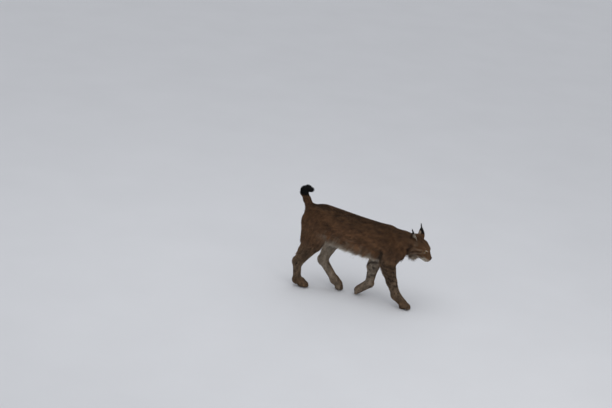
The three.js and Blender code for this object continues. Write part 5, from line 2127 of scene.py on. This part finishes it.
    def pencil(self, skin: Piece) -> Piece:
        """The black tuft on the ear's tip."""
        rng = np.random.default_rng(SEED + 65)
        base, up, ahead, across = self.axes()
        count = 170
        spread = rng.normal(size=(count, 2)) * (2.6, 1.8)
        drop = rng.random(count) * 15
        points = base + up * (self.height * 0.9) - ahead * 5 + across * spread[:, :1] + ahead * spread[:, 1:]
        points = points - up * drop[:, None]
        hide = Hide.of(skin, self.shop)
        tip = np.argmax((hide.middles() - base) @ up)
        uv = np.tile(hide.uv[tip].mean(axis=0), (count, 1))
        back = self.animal.head.way(np.array([-1.0, 0, 0])) * self.SETTINGS[self.side]["sweep"]
        gather = (across * spread[:, :1] + ahead * spread[:, 1:]) * 0.012
        flow = unit(up + back + 0.03 * rng.normal(size=(count, 3)) - gather)
        normals = unit(np.cross(np.cross(flow, across), flow))
        black = np.tile(self.markings.pelt.shade("soot") * 0.6, (count, 1))
        length = (self.tuft + drop * 0.8) * (0.62 + 0.4 * rng.random(count))
        width = 1.1 * (0.7 + 0.6 * rng.random(count))
        growth = Growth(flow, length, width, np.full(count, 0.02), np.zeros(count), black, black)
        roots = Roots(points, normals, uv, np.zeros((count, 0)))
        return self.barber.tufts(f"ear_tuft_{self.side.word}", roots, growth, 2)


@dataclass
class WhiskerWork:
    """Whiskers and brow hairs: long, white, tapered and slightly drooping."""

    animal: Animal
    shop: Shop
    sides: int = 5
    joints: int = 9

    def build(self) -> Piece:
        """All the whiskers as one piece."""
        rng = np.random.default_rng(SEED + 71)
        hairs = []
        for side in (1, -1):
            for row in range(4):
                for place in range(4):
                    start = np.array([116 - 5.5 * place - row, (23 + 1.6 * place) * side, -27 - 4.2 * row])
                    way = np.array([0.15 - 0.16 * place, side * 1.0, -0.12 - 0.1 * row])
                    hairs.append((start, way, 46 + 16 * rng.random(), 0.27))
            for place in range(3):
                start = np.array([60 - 5 * place, (31 + 2 * place) * side, 33 - place])
                hairs.append((start, np.array([-0.3, side * 0.5, 0.9]), 26 + 12 * rng.random(), 0.2))
        points, faces = [], []
        for start, way, length, radius in hairs:
            way = unit(way + 0.08 * rng.normal(size=3))
            self.hair(points, faces, start, way, length, radius)
        placed = self.animal.head.out(np.array(points))
        return self.shop.mesh("whiskers", placed, np.array(faces))

    def hair(
        self, points: list, faces: list, start: Array, way: Array, length: float, radius: float
    ) -> None:
        """Adds one hair, as a curved cone with closed ends."""
        across = unit(np.cross(way, (0.3, 0.1, 1)))
        over = np.cross(across, way)
        first = len(points)
        for i in range(self.joints):
            t = i / (self.joints - 1)
            middle = start - way * 3 + way * length * t + np.array([-0.5, 0, -0.6]) * length * 0.22 * t * t
            size = radius * (1 - 0.85 * t)
            for j in range(self.sides):
                turn = 2 * math.pi * j / self.sides
                points.append(middle + size * (across * math.cos(turn) + over * math.sin(turn)))
        faces += [tuple(first + n for n in face) for face in tube(self.joints, self.sides)]
        last = first + (self.joints - 1) * self.sides
        for j in range(1, self.sides - 1):
            faces += [(first, first + j + 1, first + j), (last, last + j, last + j + 1)]


@dataclass
class Studio:
    """Floor, light and camera.

    Attributes:
        azimuth: How far the camera stands towards the lynx's head from square on, in degrees.
        elevation: How far it looks down.
        roll: How far it is turned clockwise.
        scale: Pixels of the photograph for each mm at the lynx.
        anchor: A point of the body in mm, and the pixel where the photograph has it.
    """

    shop: Shop
    azimuth: float = 16.0
    elevation: float = 20.0
    roll: float = 6.0
    scale: float = 0.129
    distance: float = 12000.0
    anchor: Vec = (0, -50, 0)
    anchor_pixel: Pair = (300, 286)

    def camera(self) -> None:
        """A long lens from the photograph's side."""
        a, e, r = (math.radians(v) for v in (self.azimuth, self.elevation, self.roll))
        right = np.array([math.cos(a), math.sin(a), 0])
        up = np.array([-math.sin(a) * math.sin(e), math.cos(a) * math.sin(e), math.cos(e)])
        back = np.array([math.sin(a) * math.cos(e), -math.cos(a) * math.cos(e), math.sin(e)])
        right, up = right * math.cos(r) + up * math.sin(r), up * math.cos(r) - right * math.sin(r)
        width, height = IMAGE_SIZE
        across = (width / 2 - self.anchor_pixel[0]) / self.scale
        above = (self.anchor_pixel[1] - height / 2) / self.scale
        target = np.array(self.anchor) + right * across + up * above
        place = self.shop.metres(target + back * self.distance)
        data = bpy.data.cameras.new("camera")
        data.sensor_width = 36
        data.lens = data.sensor_width * self.distance / (width / self.scale)
        data.clip_end = 100
        made = put_in_scene("camera", data)
        frame_axes = Matrix((right, up, back)).transposed().to_4x4()
        made.matrix_world = Matrix.Translation(Vector(place)) @ frame_axes
        bpy.context.scene.camera = made

    def light(self) -> None:
        """An overcast sky, with one broad soft panel overhead."""
        world = bpy.data.worlds.new("overcast")
        bpy.context.scene.world = world
        world.use_nodes = True
        sky = world.node_tree.nodes["Background"]
        sky.inputs["Color"].default_value = colour4("#EDEEF1")
        sky.inputs["Strength"].default_value = 0.8
        for name, place, size, power, code in (
            ("overhead_panel", (-0.4, -1.0, 5.2), 4.5, 60, "#FFFFFF"),
            ("side_panel", (3.4, -3.0, 2.4), 2.2, 22, "#FBF6EE"),
        ):
            data = bpy.data.lights.new(name, "AREA")
            data.shape, data.size, data.energy = "DISK", size, power
            data.color = tuple(srgb(code))
            lamp = put_in_scene(name, data)
            lamp.location = place
            aim = Vector((0, 0, 0.35)) - Vector(place)
            lamp.rotation_euler = aim.to_track_quat("-Z", "Y").to_euler()
        bpy.context.scene.view_settings.view_transform = "Standard"

    def floor(self) -> None:
        """A plain pale floor."""
        bpy.ops.object.select_all(action="DESELECT")
        bpy.ops.mesh.primitive_plane_add(size=60)
        made = bpy.context.view_layer.objects.active
        made.name = made.data.name = "floor"
        made.data.materials.append(SnowyFloor().build())


def main() -> None:
    """Builds the lynx, its coat and its studio, in order."""
    logging.basicConfig(level=logging.INFO, format="%(name)s: %(message)s")
    animal = Animal()
    shop = Shop.fitted(animal)
    markings = Markings(animal)
    barber = Barber(shop)
    wardrobe = Wardrobe()
    studio = Studio(shop)
    studio.camera()
    studio.light()
    studio.floor()

    skin = wardrobe.dress(SkinWork(animal, markings, shop).build(), wardrobe.skin, Slot.COAT)
    flesh = [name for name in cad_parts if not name.startswith(("ear", "eye", "nose"))]
    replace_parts(skin, *flesh)
    nose = NoseWork(animal, shop)
    coat = CoatWork(animal, markings, shop, barber, Hide.of(skin, shop), nose)
    for piece in coat.build():
        slot = Slot.LEG if "leg" in piece.name else Slot.COAT
        wardrobe.dress(piece, wardrobe.hair, slot)

    for side in Side:
        eye = EyeWork(animal.eyes[side], shop, side)
        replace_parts(wardrobe.dress(eye.eyeball(), wardrobe.eye, Slot.EYE), f"eye_{side.word}")
        wardrobe.dress(eye.lid_rim(), wardrobe.rim, Slot.NOSE)
        ear = EarWork(animal, markings, shop, barber, side)
        cup = wardrobe.dress(ear.cup(), wardrobe.skin, Slot.EAR)
        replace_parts(cup, f"ear_{side.word}")
        for piece in (ear.fur(cup), ear.lining(cup), ear.pencil(cup)):
            wardrobe.dress(piece, wardrobe.hair, Slot.EAR)
    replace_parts(wardrobe.dress(nose.build(), wardrobe.nose, Slot.NOSE), "nose")
    whiskers = WhiskerWork(animal, shop).build()
    paint(whiskers, np.tile(srgb("#E8E2D6"), (len(whiskers.data.vertices), 1)))
    wardrobe.dress(whiskers, wardrobe.hair, Slot.COAT)


if __name__ == "__main__":
    main()
